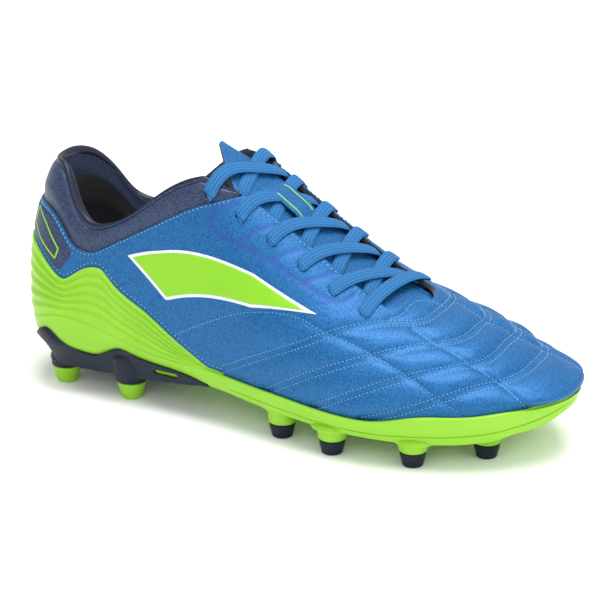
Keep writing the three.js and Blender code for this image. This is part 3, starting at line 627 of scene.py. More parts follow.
def upper_relief(share, angle, side):
    """How far the skin stands out: puffs between the seams, troughs along them and the embossed lines"""
    skin = last_point(share, angle, side)
    to_double = distance(double_tree, skin)
    to_single = distance(single_tree, skin)
    near = np.minimum(to_double, to_single)
    padded = ease(share, 0.42, 0.54) * ease(-skin[..., 2], -70, -58)
    sole = ease(skin[..., 2] - bite_height(share), 0.5, 7.0)
    relief = PUFF * padded * sole * (1 - bell(near, PUFF_REACH))
    over_wall = ease(skin[..., 2] - wall_top(share), 0.2, 4.5)
    relief = relief + (TOE_FULL * ease(share, 0.89, 0.975) + toe_pull(share)) * over_wall - toe_pull(share)
    strength = 0.35 + 0.65 * padded
    relief = relief - DOUBLE_TROUGH * strength * bell(to_double, DOUBLE_TROUGH_WIDTH)
    relief = relief + DOUBLE_RIDGE * strength * bell(to_double, DOUBLE_RIDGE_WIDTH)
    relief = relief - SINGLE_TROUGH * strength * bell(to_single, SINGLE_TROUGH_WIDTH)
    return relief - PRINT_DEPTH * printed_share(skin)


def to_frame(points):
    """Millimetres from the heel to metres in the frame"""
    return (np.asarray(points, float) - (HEEL_TO_ORIGIN, MIDDLE_TO_ORIGIN, 0)) / 1000


def grid_faces(rows, columns, ring=False):
    """Quads of a grid of points laid out row by row; a ring joins its last column to its first"""
    r = np.arange(rows - 1)[:, None] * columns
    c = np.arange(columns if ring else columns - 1)[None, :]
    after = (c + 1) % columns
    return np.stack([r + c, r + columns + c, r + columns + after, r + after], -1)


def end_faces(rows, columns):
    """A face over the first ring of points and one over the last"""
    return [tuple(range(columns)), tuple(range((rows - 1) * columns, rows * columns))]


def tube_faces(rows, columns):
    """Faces of a tube of rings, closed at both ends"""
    return [*grid_faces(rows, columns, ring=True).reshape(-1, 4), *end_faces(rows, columns)]


def in_scene(name, data):
    """A new object in the scene that holds the data"""
    thing = bpy.data.objects.new(name, data)
    bpy.context.scene.collection.objects.link(thing)
    return thing


def new_piece(name, points, faces, materials, replaces=(), marks=None, slots=None, smooth=60,
              weld=True):
    """A finished piece from points in millimetres, with its faces turned outwards and its seams welded"""
    mesh = bpy.data.meshes.new(name)
    mesh.from_pydata(to_frame(points).tolist(), [], [tuple(face) for face in faces])
    if slots is not None:
        mesh.polygons.foreach_set("material_index", np.asarray(slots, np.int32))
    for mark, values in (marks or {}).items():
        kind = "FLOAT_VECTOR" if np.ndim(values) == 2 else "FLOAT"
        layer = mesh.attributes.new(mark, kind, "POINT")
        layer.data.foreach_set("vector" if kind == "FLOAT_VECTOR" else "value",
                               np.asarray(values, np.float32).ravel())
    work = bmesh.new()
    work.from_mesh(mesh)
    if weld:
        bmesh.ops.remove_doubles(work, verts=work.verts, dist=2e-6)
        bmesh.ops.dissolve_degenerate(work, edges=work.edges, dist=1e-7)
    bmesh.ops.recalc_face_normals(work, faces=work.faces)
    work.to_mesh(mesh)
    work.free()
    for material in materials:
        mesh.materials.append(material)
    piece = in_scene(name, mesh)
    mesh.shade_smooth()
    mesh.set_sharp_from_angle(angle=np.radians(smooth))
    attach(piece, "root")
    if replaces:
        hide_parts(*replaces)
    return piece


def horseshoe(stations, section, joined=None, open_column=None):
    """Points and faces of a shell from its front on the outer side, round the heel, to its front on the
    inner side. section gives the ring of points of one station; where both of two rows are joined, the
    face in open_column is left out, because the other side's ring meets it there."""
    stations = np.asarray(stations, float)
    share = np.concatenate([stations[::-1], stations[1:]])
    side = np.concatenate([np.full(len(stations), OUTER), np.full(len(stations) - 1, INNER)])
    points = section(share[:, None], side[:, None])
    rows, columns = points.shape[:2]
    faces = grid_faces(rows, columns, ring=True)
    keep = np.ones(faces.shape[:2], bool)
    if joined is not None:
        met = joined(share)
        keep[met[:-1] & met[1:], open_column] = False
    return points, faces, keep


def spread(low, high, count):
    return np.linspace(low, high, max(2, int(round(count * FINE)) + 1))


def fine_stations(end=1.0, start=0.0):
    """Shares of the length, closer together in the rounds of heel, throat and toe"""
    heel = HEEL_ROUND / LAST_LENGTH * (1 - np.cos(spread(0, QUARTER, 44)))
    toe = 1 - TOE_ROUND / LAST_LENGTH * (1 - np.sin(spread(0, QUARTER, 56)))
    throat = spread(THROAT_FRONT[OUTER][0][0], THROAT_CLOSE, 60)
    body = np.concatenate([
        heel,
        spread(heel[-1], throat[0], 240)[1:-1],
        throat,
        spread(THROAT_CLOSE, toe[0], 36)[1:-1],
        toe,
    ])
    return body[(body >= start) & (body <= end)]


def linear(colour):
    """A hex colour as the renderer's linear values"""
    parts = [int(colour[i:i + 2], 16) / 255 for i in (1, 3, 5)]
    return (*(p / 12.92 if p <= 0.04045 else ((p + 0.055) / 1.055) ** 2.4 for p in parts), 1.0)


def add(tree, kind, inputs=None, **settings):
    """Adds a node with its settings; an input is a value or another node's socket"""
    node = tree.nodes.new(kind)
    for name, value in settings.items():
        setattr(node, name, value)
    for key, value in (inputs or {}).items():
        if isinstance(value, bpy.types.NodeSocket):
            tree.links.new(value, node.inputs[key])
        else:
            node.inputs[key].default_value = value
    return node


def finish(name, **values):
    """A material with one shader; values are set on the shader's own sockets"""
    material = bpy.data.materials.new(name)
    material.use_nodes = True
    tree = material.node_tree
    shader = tree.nodes["Principled BSDF"]
    for key, value in values.items():
        shader.inputs[key.replace("_", " ")].default_value = value
    return material, tree, shader


def per_millimetre(size):
    """Pattern scale, on coordinates in metres, of a feature of this many millimetres"""
    return 1000.0 / size


def tint(tree, factor, dark, light):
    """Colour between two others, each a hex value or another node's socket"""
    ends = {key: linear(end) if isinstance(end, str) else end for key, end in ((6, dark), (7, light))}
    return add(tree, "ShaderNodeMix", {0: factor, **ends}, data_type="RGBA").outputs[2]


def object_place(tree):
    return add(tree, "ShaderNodeTexCoord").outputs["Object"]


def noise(tree, place, size, **values):
    """Soft noise whose features are size millimetres wide"""
    inputs = {"Vector": place, "Scale": per_millimetre(size), "Detail": 2.0, **values}
    return add(tree, "ShaderNodeTexNoise", inputs).outputs["Fac"]


def cells(tree, place, size, feature="F1"):
    """Cells size millimetres wide, as the distance from their middles"""
    inputs = {"Vector": place, "Scale": per_millimetre(size)}
    return add(tree, "ShaderNodeTexVoronoi", inputs, feature=feature).outputs["Distance"]


def remap(tree, value, low, high, new_low=0.0, new_high=1.0):
    return add(tree, "ShaderNodeMapRange", {0: value, 1: low, 2: high, 3: new_low, 4: new_high}).outputs[0]


def maths(tree, operation, *values):
    return add(tree, "ShaderNodeMath", dict(enumerate(values)), operation=operation).outputs[0]


def pressed(tree, height, strength, depth):
    """Relief that looks depth millimetres deep"""
    inputs = {"Height": height, "Strength": strength, "Distance": depth / 1000}
    return add(tree, "ShaderNodeBump", inputs).outputs[0]


def join(tree, shader, colour, bump=None, rough=None):
    """Joins a material's patterns to its shader"""
    for key, socket in (("Base Color", colour), ("Normal", bump), ("Roughness", rough)):
        if socket is not None:
            tree.links.new(socket, shader.inputs[key])


def embossed_leather(name, shade, base, painted_highlight, grain, grain_depth, roughness, metallic):
    """PU-coated synthetic leather, its grain embossed by a hot roller: a fine pebble with a pearly metallic
    shine, its tops and random specks painted lighter as painted highlight and its pits darker as painted
    shade; the grain is a little coarser than life, so that it shows"""
    material, tree, shader = finish(name, Metallic=metallic, IOR=1.5, Specular_IOR_Level=0.32)
    place = object_place(tree)
    pebble = cells(tree, place, grain, "SMOOTH_F1")
    speck = noise(tree, place, grain * 1.1, Detail=3.0, Roughness=0.7)
    body = tint(tree, noise(tree, place, 45.0), shade, base)
    # Painted highlight on the pebble tops and on random specks, mixed towards the light colour; the pits
    # between stay darker as painted shade
    cell = remap(tree, pebble, 0.75, 0.15, -0.2, 0.35)
    lift = remap(tree, maths(tree, "ADD", speck, cell), 0.36, 0.86)
    colour = tint(tree, lift, body, painted_highlight)
    rough = remap(tree, speck, 0.3, 0.7, roughness - 0.07, roughness + 0.1)
    join(tree, shader, colour, pressed(tree, pebble, 0.65, grain_depth), rough)
    return material, tree, shader, colour


def printed_leather():
    """The blue leather with the embossed lines, whose ink sits a little purple in the pressed groove"""
    # The last colour is the painted highlight on the pebble tops and specks
    material, tree, shader, colour = embossed_leather(
        "embossed_pu_leather_blue", "#07427d", "#0d508a", "#216ca2", 0.62, -0.10, 0.45, 0.32)
    mark = add(tree, "ShaderNodeAttribute", attribute_name="printed").outputs["Fac"]
    join(tree, shader, tint(tree, mark, colour, "#2c4a96"))
    return material


def moulded_rubber(name, dark, light, roughness, shine=0.4, scatter=0.0):
    """Injection-moulded TPU: an even satin skin, a little clouded inside, with the mould's fine texture"""
    material, tree, shader = finish(name, IOR=1.5, Specular_IOR_Level=shine,
                                    Subsurface_Weight=scatter, Subsurface_Scale=0.002)
    place = object_place(tree)
    colour = tint(tree, noise(tree, place, 18.0), dark, light)
    fine = noise(tree, place, 0.7)
    rough = remap(tree, fine, 0.0, 1.0, roughness - 0.05, roughness + 0.08)
    join(tree, shader, colour, pressed(tree, fine, 0.2, 0.03), rough)
    return material


# Braid of the lace in millimetres: pitch of the strands along it, and width of one rib across it
BRAID_PITCH = 1.2
BRAID_RIB = 1.6


def woven_lace():
    """Flat braided polyester: strands run in chevrons in four columns across the lace; its colour follows
    the braid's height, with painted shade in the grooves and painted highlight on the strands
    """
    material, tree, shader = finish("braided_polyester_blue", Roughness=0.7, IOR=1.5,
                                    Specular_IOR_Level=0.3)
    mark = add(tree, "ShaderNodeAttribute", attribute_name="lace_mm").outputs["Vector"]
    lengthwise, crosswise, _ = add(tree, "ShaderNodeSeparateXYZ", {0: mark}).outputs
    slant = maths(tree, "ADD", lengthwise, maths(tree, "PINGPONG", crosswise, BRAID_RIB / 2))
    strand = maths(tree, "SINE", maths(tree, "MULTIPLY", slant, 2 * np.pi / BRAID_PITCH))
    rib = maths(tree, "COSINE", maths(tree, "MULTIPLY", crosswise, 2 * np.pi / BRAID_RIB))
    both = maths(tree, "ADD", strand, maths(tree, "MULTIPLY", rib, 0.6))
    height = remap(tree, both, -1.5, 1.1)
    # Painted shade and highlight: darker in the braid's grooves, lighter on its strands
    join(tree, shader, tint(tree, height, "#0a4175", "#2674ad"), pressed(tree, height, 0.9, 0.22))
    return material


def knitted_lining(name, dark, light, size=0.9):
    """Brushed polyester knit: matt and soft, with a fine mesh that catches a little light"""
    material, tree, shader = finish(name, Roughness=0.9, IOR=1.45, Sheen_Weight=0.3, Sheen_Roughness=0.6)
    cell = cells(tree, object_place(tree), size)
    join(tree, shader, tint(tree, cell, dark, light), pressed(tree, cell, 0.6, 0.2))
    return material


def sewing_thread(name, dark, light):
    """Bonded polyester thread: two plies twisted, slightly glossy"""
    material, tree, shader = finish(name, Roughness=0.5, IOR=1.5, Sheen_Weight=0.2)
    join(tree, shader, tint(tree, noise(tree, object_place(tree), 0.8), dark, light))
    return material


def print_film(name, dark, light, roughness):
    """Heat-pressed PU film: smooth and even, with the leather's pebble just showing through"""
    material, tree, shader = finish(name, Roughness=roughness, IOR=1.5, Coat_Weight=0.1, Coat_Roughness=0.3)
    place = object_place(tree)
    pebble = cells(tree, place, 0.9, "SMOOTH_F1")
    join(tree, shader, tint(tree, noise(tree, place, 14.0), dark, light), pressed(tree, pebble, 0.2, 0.04))
    return material


BLUE_LEATHER = printed_leather()
# The third colour of each leather is its painted highlight on the pebble tops and specks
NAVY_LEATHER = embossed_leather(
    "embossed_pu_leather_navy", "#172440", "#1e2c49", "#3b4967", 0.7, -0.12, 0.40, 0.22)[0]
PIPING_EDGE = embossed_leather(
    "rolled_pu_edge_navy", "#0d1222", "#12182c", "#1d2438", 0.7, -0.05, 0.33, 0.05)[0]
# Smooth navy lining inside the collar: its own navy, painted lighter than the outer navy leather as painted
# sheen
SHEEN_PAINTED_LINING = embossed_leather(
    "smooth_pu_lining_navy_painted_sheen", "#38435e", "#424d68", "#4e5974", 0.7, -0.03, 0.36, 0.05)[0]
LIME_RUBBER = moulded_rubber("moulded_tpu_lime", "#7dbb16", "#90c62e", 0.42, scatter=0.15)
NAVY_RUBBER = moulded_rubber("moulded_tpu_navy", "#0a1424", "#101b2e", 0.45, shine=0.25)
LACE = woven_lace()
LINING = knitted_lining("brushed_knit_lining_black", "#04070d", "#080c16")
SOCK = knitted_lining("sock_lining_black", "#101219", "#262832", 1.4)
FOAM = knitted_lining("cut_foam_navy", "#161a28", "#2b3044", 0.8)
BLUE_THREAD = sewing_thread("polyester_thread_blue", "#2f80b6", "#56a2cc")
# Dark discs of painted shade in the needle holes between the stitches
NEEDLE_HOLE_SHADE = sewing_thread("needle_hole_painted_shade", "#061d3c", "#0a284e")
LIME_FILM = print_film("pressed_pu_film_lime", "#79bb00", "#81c302", 0.6)
WHITE_FILM = print_film("pressed_pu_film_white", "#cdd3da", "#d8dde2", 0.5)


def eyelet_places(side):
    """Share and angle of the eyelets of one side"""
    k = np.arange(EYELET_PAIRS) / (EYELET_PAIRS - 1)
    share = mix(FIRST_EYELET[side], LAST_EYELET[side], k)
    half = EYELET_SPREAD / 2 - side * middle(share)
    return share, angle_at_half(share, half, side)


def punched(piece, tool):
    """Cuts the tool out of a piece and keeps the result as its mesh"""
    cut = piece.modifiers.new("punch", "BOOLEAN")
    cut.object = tool
    cut.solver = "EXACT"
    cut.operation = "DIFFERENCE"
    bpy.context.view_layer.update()
    graph = bpy.context.evaluated_depsgraph_get()
    cut_piece = piece.evaluated_get(graph)
    made = bpy.data.meshes.new_from_object(cut_piece, preserve_all_data_layers=True, depsgraph=graph)
    piece.modifiers.clear()
    old = piece.data
    piece.data = made
    bpy.data.meshes.remove(old)
    made.name = piece.name
    bpy.data.objects.remove(tool)


def cutter(name, work):
    """A cutting tool from finished mesh work"""
    mesh = bpy.data.meshes.new(name)
    work.to_mesh(mesh)
    work.free()
    return in_scene(name, mesh)


# Length of the eyelet punches through the upper alone and through the padded collar
UPPER_PUNCH = 9.0
COLLAR_PUNCH = 16.0


def eyelet_cutter(depth):
    """Twelve round punches in one mesh, square to the skin"""
    work = bmesh.new()
    for side in (OUTER, INNER):
        share, angle = eyelet_places(side)
        centres = last_point(share, angle, side)
        normals = outward(share, angle, side)
        for centre, normal in zip(centres, normals):
            turn = Vector(normal).to_track_quat("Z", "Y").to_matrix().to_4x4()
            turn.translation = Vector(to_frame(centre))
            bmesh.ops.create_cone(work, cap_ends=True, segments=24, radius1=EYELET_DIAMETER / 2000,
                                  radius2=EYELET_DIAMETER / 2000, depth=depth / 1000, matrix=turn)
    return cutter("eyelet_punch", work)


# Columns up the upper's side, then the millimetres below its edge of the last ones and the edge's rounding
UPPER_COLUMNS = int(78 * FINE)
EDGE_STEPS = np.array([1.6, 1.0, 0.6, 0.3, 0.1, 0.0])
EDGE_ROUND = 0.7


def edged_turns(low, high, count, reach):
    """Turns from low to high, evenly spread and then close together in the last millimetres"""
    t = np.linspace(0, 1, count)[None, :, None]
    reach = np.maximum(reach, 1.0)
    tail = 1 - EDGE_STEPS[None, None, :] / reach[..., None]
    body = t * (1 - 2.6 / reach[..., None])
    both = np.concatenate([np.broadcast_to(body[..., 0], (len(reach), count)), tail[:, 0, :]], axis=1)
    return mix(low, high, np.maximum(both, 0))


def girth(low, high, share, side):
    """Length in millimetres of the skin between two turns of a section"""
    t = np.linspace(0, 1, 24)
    points = last_point(share, mix(low, high, t), side)
    return np.linalg.norm(np.diff(points, axis=1), axis=2).sum(1, keepdims=True)


def upper_section(share, side):
    high = upper_edge(share, side)
    low = np.full_like(high, -1.0)
    reach = girth(low, high, share, side)
    joined = share >= THROAT_CLOSE
    turns = edged_turns(low, high, UPPER_COLUMNS, reach)
    relief = upper_relief(share, turns, side)
    below = (high - turns) / np.maximum(high - low, 1e-6) * reach
    roll = EDGE_ROUND * (1 - quarter_circle(below / EDGE_ROUND))
    relief = relief - np.where(joined, 0, roll)
    outer = last_point(share, turns, side, relief)
    inner_turns = mix(high, low, np.linspace(0, 1, 12))
    inner = last_point(share, inner_turns, side, -WALL - toe_pull(share))
    return np.concatenate([outer, inner], axis=1)


def build_upper():
    stations = fine_stations()
    outer_columns = UPPER_COLUMNS + len(EDGE_STEPS)
    points, faces, keep = horseshoe(
        stations, upper_section, joined=lambda share: share >= THROAT_CLOSE - 1e-9,
        open_column=outer_columns - 1)
    slots = np.zeros(faces.shape[:2], int)
    row_shares = np.concatenate([stations[::-1], stations[1:]])[:-1, None]
    slots[:, outer_columns - 2:-1] = np.where(row_shares < THROAT_CLOSE, 1, 0)
    slots[:, outer_columns:-1] = 1
    upper = new_piece("upper_skin", points.reshape(-1, 3), faces[keep], [BLUE_LEATHER, LINING],
                      ["upper"], slots=slots[keep])
    punched(upper, eyelet_cutter(UPPER_PUNCH))
    mark_print(upper)


def mark_print(piece):
    """Marks how much of the embossed lines' ink each point holds"""
    mesh = piece.data
    flat = np.empty(len(mesh.vertices) * 3, np.float32)
    mesh.vertices.foreach_get("co", flat)
    places = flat.reshape(-1, 3) * 1000 + (HEEL_TO_ORIGIN, MIDDLE_TO_ORIGIN, 0)
    layer = mesh.attributes.new("printed", "FLOAT", "POINT")
    layer.data.foreach_set("value", (PRINT_INK * printed_share(places)).astype(np.float32))


# Collar in millimetres: the piping is the rolled rim, with a groove under it; all of it shrinks where the
# collar gets lower than COLLAR_FULL
PIPING = 2.1
GROOVE_DEPTH = 0.7
GROOVE_DROP = 4.2
GROOVE_WIDTH = 0.55
COLLAR_FULL = 16
COLLAR_SUNK = 1.1
COLLAR_SWELL = 0.3
COLLAR_TUCK = 5.0
COLLAR_DEEP = 14.0
COLLAR_STEPS = np.array([0.0, 0.35, 0.8, 1.4, 2.2, 3.0, 3.6, 4.1, 4.6, 5.2, 6.0, 7.5, 9.5, 12.0])
# Columns of points on the collar's inside, how many of them turn over the rim, how many are piping and how
# many knit, and then the piping's columns on the outside
COLLAR_INSIDE = 20
OVER_RIM = 4
PIPING_INSIDE = 3
KNIT_INSIDE = 11
PIPING_OUTSIDE = 6


def collar_section(share, side):
    top = collar_top(share, side)
    foot = np.minimum(collar_seam_angle(share), top)
    reach = girth(foot - 0.001, top, share, side)
    per_turn = np.maximum(reach, 0.5) / np.maximum(top - foot, 0.002)
    shrink = np.clip(reach / COLLAR_FULL, 0.12, 1)
    start = foot - COLLAR_TUCK / per_turn
    down = COLLAR_STEPS * shrink
    body = np.linspace(0, 1, 14)[:-1]
    low_part = mix(start, top - COLLAR_STEPS[-1] * shrink / per_turn, body)
    high_part = top - down[:, ::-1] / per_turn
    turns = np.concatenate([low_part, high_part], axis=1)
    drop = (top - turns) * per_turn
    rise = (turns - foot) * per_turn
    roll = PIPING * shrink
    piping = roll * quarter_circle(drop / roll) - PIPING + (PIPING - roll) * 0.3
    groove = GROOVE_DEPTH * bell(drop / shrink - GROOVE_DROP, GROOVE_WIDTH)
    swell = mix(-COLLAR_SUNK, COLLAR_PROUD + COLLAR_SWELL, ease(rise, -1.0, 8.0 * shrink))
    pad = mix(-0.1, swell, ease(drop / shrink, 2.5, 9.0))
    outside = np.where(drop < roll, np.minimum(piping, pad), pad) - groove
    outer = last_point(share, turns, side, outside)
    inner_start = top - PIPING * 2.0 * shrink / per_turn
    inner_end = foot - COLLAR_DEEP / per_turn
    over_rim = top - COLLAR_STEPS[1:1 + OVER_RIM] * shrink / per_turn
    down_inside = mix(inner_start, inner_end, np.linspace(0, 1, COLLAR_INSIDE - OVER_RIM))
    inner_turns = np.concatenate([over_rim, down_inside], axis=1)
    inner_drop = (top - inner_turns) * per_turn
    rolled = -PIPING - roll * quarter_circle(inner_drop / roll)
    padded = mix(-2 * PIPING, COLLAR_PROUD - COLLAR_PADDING, ease(inner_drop, 4, 12))
    inner_rise = (inner_turns - foot) * per_turn
    near_rim = np.where(inner_drop < roll, rolled, padded)
    inside = mix(-WALL - 0.1, near_rim, ease(inner_rise, -COLLAR_DEEP, -2.0))
    inner = last_point(share, inner_turns, side, inside)
    return np.concatenate([outer, inner], axis=1)


def collar_end():
    """Share of the length where the throat's edges cut the collar off"""
    share = fine_stations(0.6, 0.3)
    room = np.minimum(*(throat_angle(share, side) - collar_seam_angle(share) for side in (OUTER, INNER)))
    return share[np.argmax(room < 0.05)]


def closed_shell(name, stations, section, materials, replaces, column_slots=None):
    """A horseshoe whose two front ends are closed with a face each; column_slots gives the material
    of each column of faces"""
    points = horseshoe(stations, section)[0]
    rows, columns = points.shape[:2]
    slots = None
    if column_slots is not None:
        slots = np.concatenate([np.tile(column_slots(columns), rows - 1), [0, 0]])
    return new_piece(name, points.reshape(-1, 3), tube_faces(rows, columns), materials, replaces,
                     slots=slots)


def collar_slots(columns):
    slots = np.zeros(columns, int)
    inside = columns - COLLAR_INSIDE
    slots[inside - PIPING_OUTSIDE:] = 2
    slots[inside + PIPING_INSIDE:] = 3
    slots[columns - KNIT_INSIDE:-1] = 1
    return slots


def build_collar():
    materials = [NAVY_LEATHER, LINING, PIPING_EDGE, SHEEN_PAINTED_LINING]
    collar = closed_shell("collar_padded", fine_stations(collar_end()), collar_section, materials,
                          ["collar"], collar_slots)
    punched(collar, eyelet_cutter(COLLAR_PUNCH))
    return collar


def rounded_slab(share, side, low, high, inside, outside, count, edge=0.6):
    """Ring of a sheet between two turns, its outer face given by outside and its edges rounded"""
    reach = np.maximum(girth(low, high, share, side), 0.4)
    round_off = np.minimum(edge, reach * 0.45)
    near = np.array([0.0, 0.15, 0.5, 1.0]) * round_off / reach
    middle_part = mix(near[:, -1:], 1 - near[:, -1:], np.linspace(0, 1, count)[None, 1:-1])
    t = np.concatenate([near, middle_part, 1 - near[:, ::-1]], axis=1)
    turns = turn_at(share, mix(climb(share, low), climb(share, high), t))
    off = np.minimum(t, 1 - t) * reach
    fall = 1 - quarter_circle(off / round_off)
    out = outside(t, share)
    out = out - fall * np.minimum(edge, out - inside)
    outer = last_point(share, turns, side, out)
    back = turn_at(share, mix(climb(share, high), climb(share, low), np.linspace(0, 1, 8)))
    inner = last_point(share, back, side, inside)
    return np.concatenate([outer, inner], axis=1)


COUNTER_POINT = 0.425


def counter_top(share):
    """Height of the counter's upper edge, drawn down to a point on the sole at its front"""
    edge = ankle_height(COUNTER_UP(share))
    on_sole = bite_height(share) + CLEAR + 0.3
    return mix(edge, on_sole, ease(share, COUNTER_END - 0.03, COUNTER_POINT + 0.01))


def counter_section(share, side):
    low = angle_at_height(share, bite_height(share) - 0.5)
    high = angle_at_height(share, counter_top(share))

    def outside(t, share):
        reach = girth(low, high, share, side)
        fade = ease(t, 0.0, 0.22) * np.clip(reach / 15, 0.0, 1) * mix(0.3, 1, ease(share, 0.0, 0.06))
        crest = 0.5 + 0.5 * np.cos(2 * np.pi * (RIB_COUNT * (1 - t) - 0.18))
        nose = ease(share, COUNTER_POINT, COUNTER_END - 0.02)
        body = mix(1.75, 0.55 * COUNTER_THICKNESS, ease(t, 0.0, 0.5))
        return 0.25 + (body - 0.25) * nose + 1.15 * RIB_HEIGHT * fade * crest**1.3

    return rounded_slab(share, side, low, high, -0.1, outside, int(100 * FINE) + 10)


def build_counter():
    stations = np.append(fine_stations(COUNTER_POINT), COUNTER_POINT)
    closed_shell("heel_counter_ribbed", stations, counter_section, [LIME_RUBBER],
                 ["heel_counter"])


def patch_edges(share):
    return (angle_at_height(share, ankle_height(PATCH_LOW(share))),
            angle_at_height(share, ankle_height(PATCH_HIGH(share))))


PATCH_PROUD = 0.55


def patch_section(share, side):
    low, high = patch_edges(share)
    return rounded_slab(share, side, low, high, -0.4,
                        lambda t, share: np.full_like(t, PATCH_PROUD), 24, edge=0.5)


def build_patch():
    closed_shell("heel_patch_inlay", fine_stations(PATCH_END), patch_section, [NAVY_LEATHER],
                 ["heel_patch"])


def closed_strip(places, side, width, height, lift, sides):
    """A low rounded strip along a closed row of places on the skin: points and faces"""
    share, angle = places
    centre = last_point(share, angle, side, lift)
    normal = outward(share, np.minimum(angle, QUARTER - 2e-3), side)
    run = np.roll(centre, -1, axis=0) - np.roll(centre, 1, axis=0)
    across = unit(np.cross(normal, run))
    turn = np.arange(sides) * 2 * np.pi / sides
    ring = (centre[:, None] + across[:, None] * (np.cos(turn) * width / 2)[None, :, None]
            + normal[:, None] * (np.sin(turn) * height / 2)[None, :, None])
    last = (len(centre) - 1) * sides
    joint = [(last + j, j, (j + 1) % sides, last + (j + 1) % sides) for j in range(sides)]
    return ring.reshape(-1, 3), [*grid_faces(len(centre), sides, ring=True).reshape(-1, 4), *joint]


class Gathered:
    """Small repeated pieces gathered into one mesh"""

    def __init__(self):
        self.points = []
        self.faces = []
        self.count = 0

    def take(self, points, faces):
        self.points.append(points)
        self.faces += [tuple(int(corner) + self.count for corner in face) for face in faces]
        self.count += len(points)

    def piece(self, name, material, slot, smooth=60):
        """The gathered pieces as one, not welded, because they may touch"""
        return new_piece(name, np.concatenate(self.points), self.faces, [material],
                         smooth=smooth, weld=False)


# Stitches: length along the seam, thread width, and the pitch from one to the next
STITCH_LENGTH = 1.25
STITCH_WIDTH = 0.48
STITCH_PITCH = 1.9
STITCH_PROUD = 0.12
HOLE_WIDTH = 0.85
stitches = Gathered()
hole_shades = Gathered()


def stitch_shape(length, width):
    """A short thread that dips at its ends, along X on Z: five rings of six points"""
    t = np.linspace(-1, 1, 5)
    size = np.sqrt(np.maximum(1 - t**4, 0.04)) * width / 2
    turn = np.arange(6) * np.pi / 3
    x = np.repeat(t * length / 2, 6).reshape(5, 6)
    y = size[:, None] * np.cos(turn)
    z = size[:, None] * np.sin(turn) * 0.8 - (np.abs(t) ** 3 * width * 0.45)[:, None]
    return np.stack([x, y, z], -1).reshape(-1, 3), tube_faces(5, 6)


def disc_shape(width):
    """Painted shade of a needle hole: a low dark disc on Z"""
    turn = np.arange(8) * np.pi / 4
    rim = np.stack([np.cos(turn) * width / 2, np.sin(turn) * width / 2, np.full(8, -0.05)], -1)
    top = np.stack([np.cos(turn) * width / 2.4, np.sin(turn) * width / 2.4, np.full(8, 0.03)], -1)
    return np.concatenate([rim, top]), tube_faces(2, 8)


def sew(places, side, out, pitch=STITCH_PITCH, length=STITCH_LENGTH, width=STITCH_WIDTH, pierce=True):
    """A row of stitches along places on the skin; out is the skin's height there"""
    share, angle = places
    low = np.minimum(angle, QUARTER - 2e-3)
    height = out(share, angle, side) if callable(out) else np.full(len(share), out)
    centre = last_point(share, angle, side, height)
    measure = arc(centre)
    if measure[-1] < pitch:
        return
    at = np.arange(pitch / 2, measure[-1], pitch)

    def pick(values, where):
        return np.stack([np.interp(where, measure, column) for column in values.T], -1)

    runs = unit(pick(np.gradient(centre, axis=0), at))
    across = unit(np.cross(pick(outward(share, low, side), at), runs))
    ups = np.cross(runs, across)
    shape, faces = stitch_shape(length, width)
    for spot, r, a, u in zip(pick(centre, at), runs, across, ups):
        stitches.take(spot + u * STITCH_PROUD + shape @ np.stack([r, a, u]), faces)
    # Dark discs between the stitches: painted shade in the needle holes
    if pierce:
        hole, hole_faces = disc_shape(HOLE_WIDTH)
        for spot, r, a, u in zip(pick(centre, at[:-1] + pitch / 2), runs, across, ups):
            hole_shades.take(spot + hole @ np.stack([r, a, u]), hole_faces)


# Half the distance between the two rows of a double seam
SEAM_GAP = 1.55


def edge_rows(side):
    """Rows along the upper's edges: edge, start and end, drop below it, and how the row is sewn"""
    coarse = {"pitch": 2.2, "length": 1.5, "width": 0.5}
    return [
        (collar_seam_angle, 0.0, collar_end() - 0.006, 1.5, coarse),
        (lambda share: throat_angle(share, side), collar_end() + 0.01, 0.69, 2.4,
         {"pitch": 2.4, "length": 1.6, "width": 0.55}),
        (lambda share: angle_at_height(share, counter_top(share)), 0.0, COUNTER_POINT, -2.2, coarse),
        (lambda share: patch_edges(share)[1], 0.0, PATCH_END - 0.004, -1.3,
         {"pitch": 2.2, "length": 1.5, "width": 0.45, "pierce": False}),
    ]


def sew_upper():
    """The seams of the upper: double rows over the vamp, single seams, and rows along its edges"""
    for side in (OUTER, INNER):
        for row in DOUBLE_SEAMS.values():
            line = seam_line(row, side)
            for offset in (-SEAM_GAP, SEAM_GAP):
                sew(shifted(line, side, offset), side, upper_relief)
        for row in SINGLE_SEAMS.values():
            sew(seam_line(row, side), side, upper_relief)
        if side == OUTER:
            sew(seam_line(TAB_SEAM, side), side, upper_relief)
        for edge, start, end, drop, row in edge_rows(side):
            sew(edge_line(edge, side, start, end, drop), side, 0.0, **row)
    sew(seam_line(CENTRE_SEAM, INNER), INNER, upper_relief)


# Where the finished sole departs from the solid, in millimetres: tucked in low on the back of the heel,
# its wall thinner at the toe, its rim higher under the ball and lower right at the toe
HEEL_TUCK = 4.2
TOE_THIN = 0.8
TOE_RISE = 1.2
TOE_DROP = 4.2


def rim_line(share):
    """Height of the finished sole's rim: a little higher under the ball, lower right at the toe"""
    return rim_height(share) + TOE_RISE * ease(share, 0.88, 0.93) - TOE_DROP * ease(share, 0.92, 0.985)


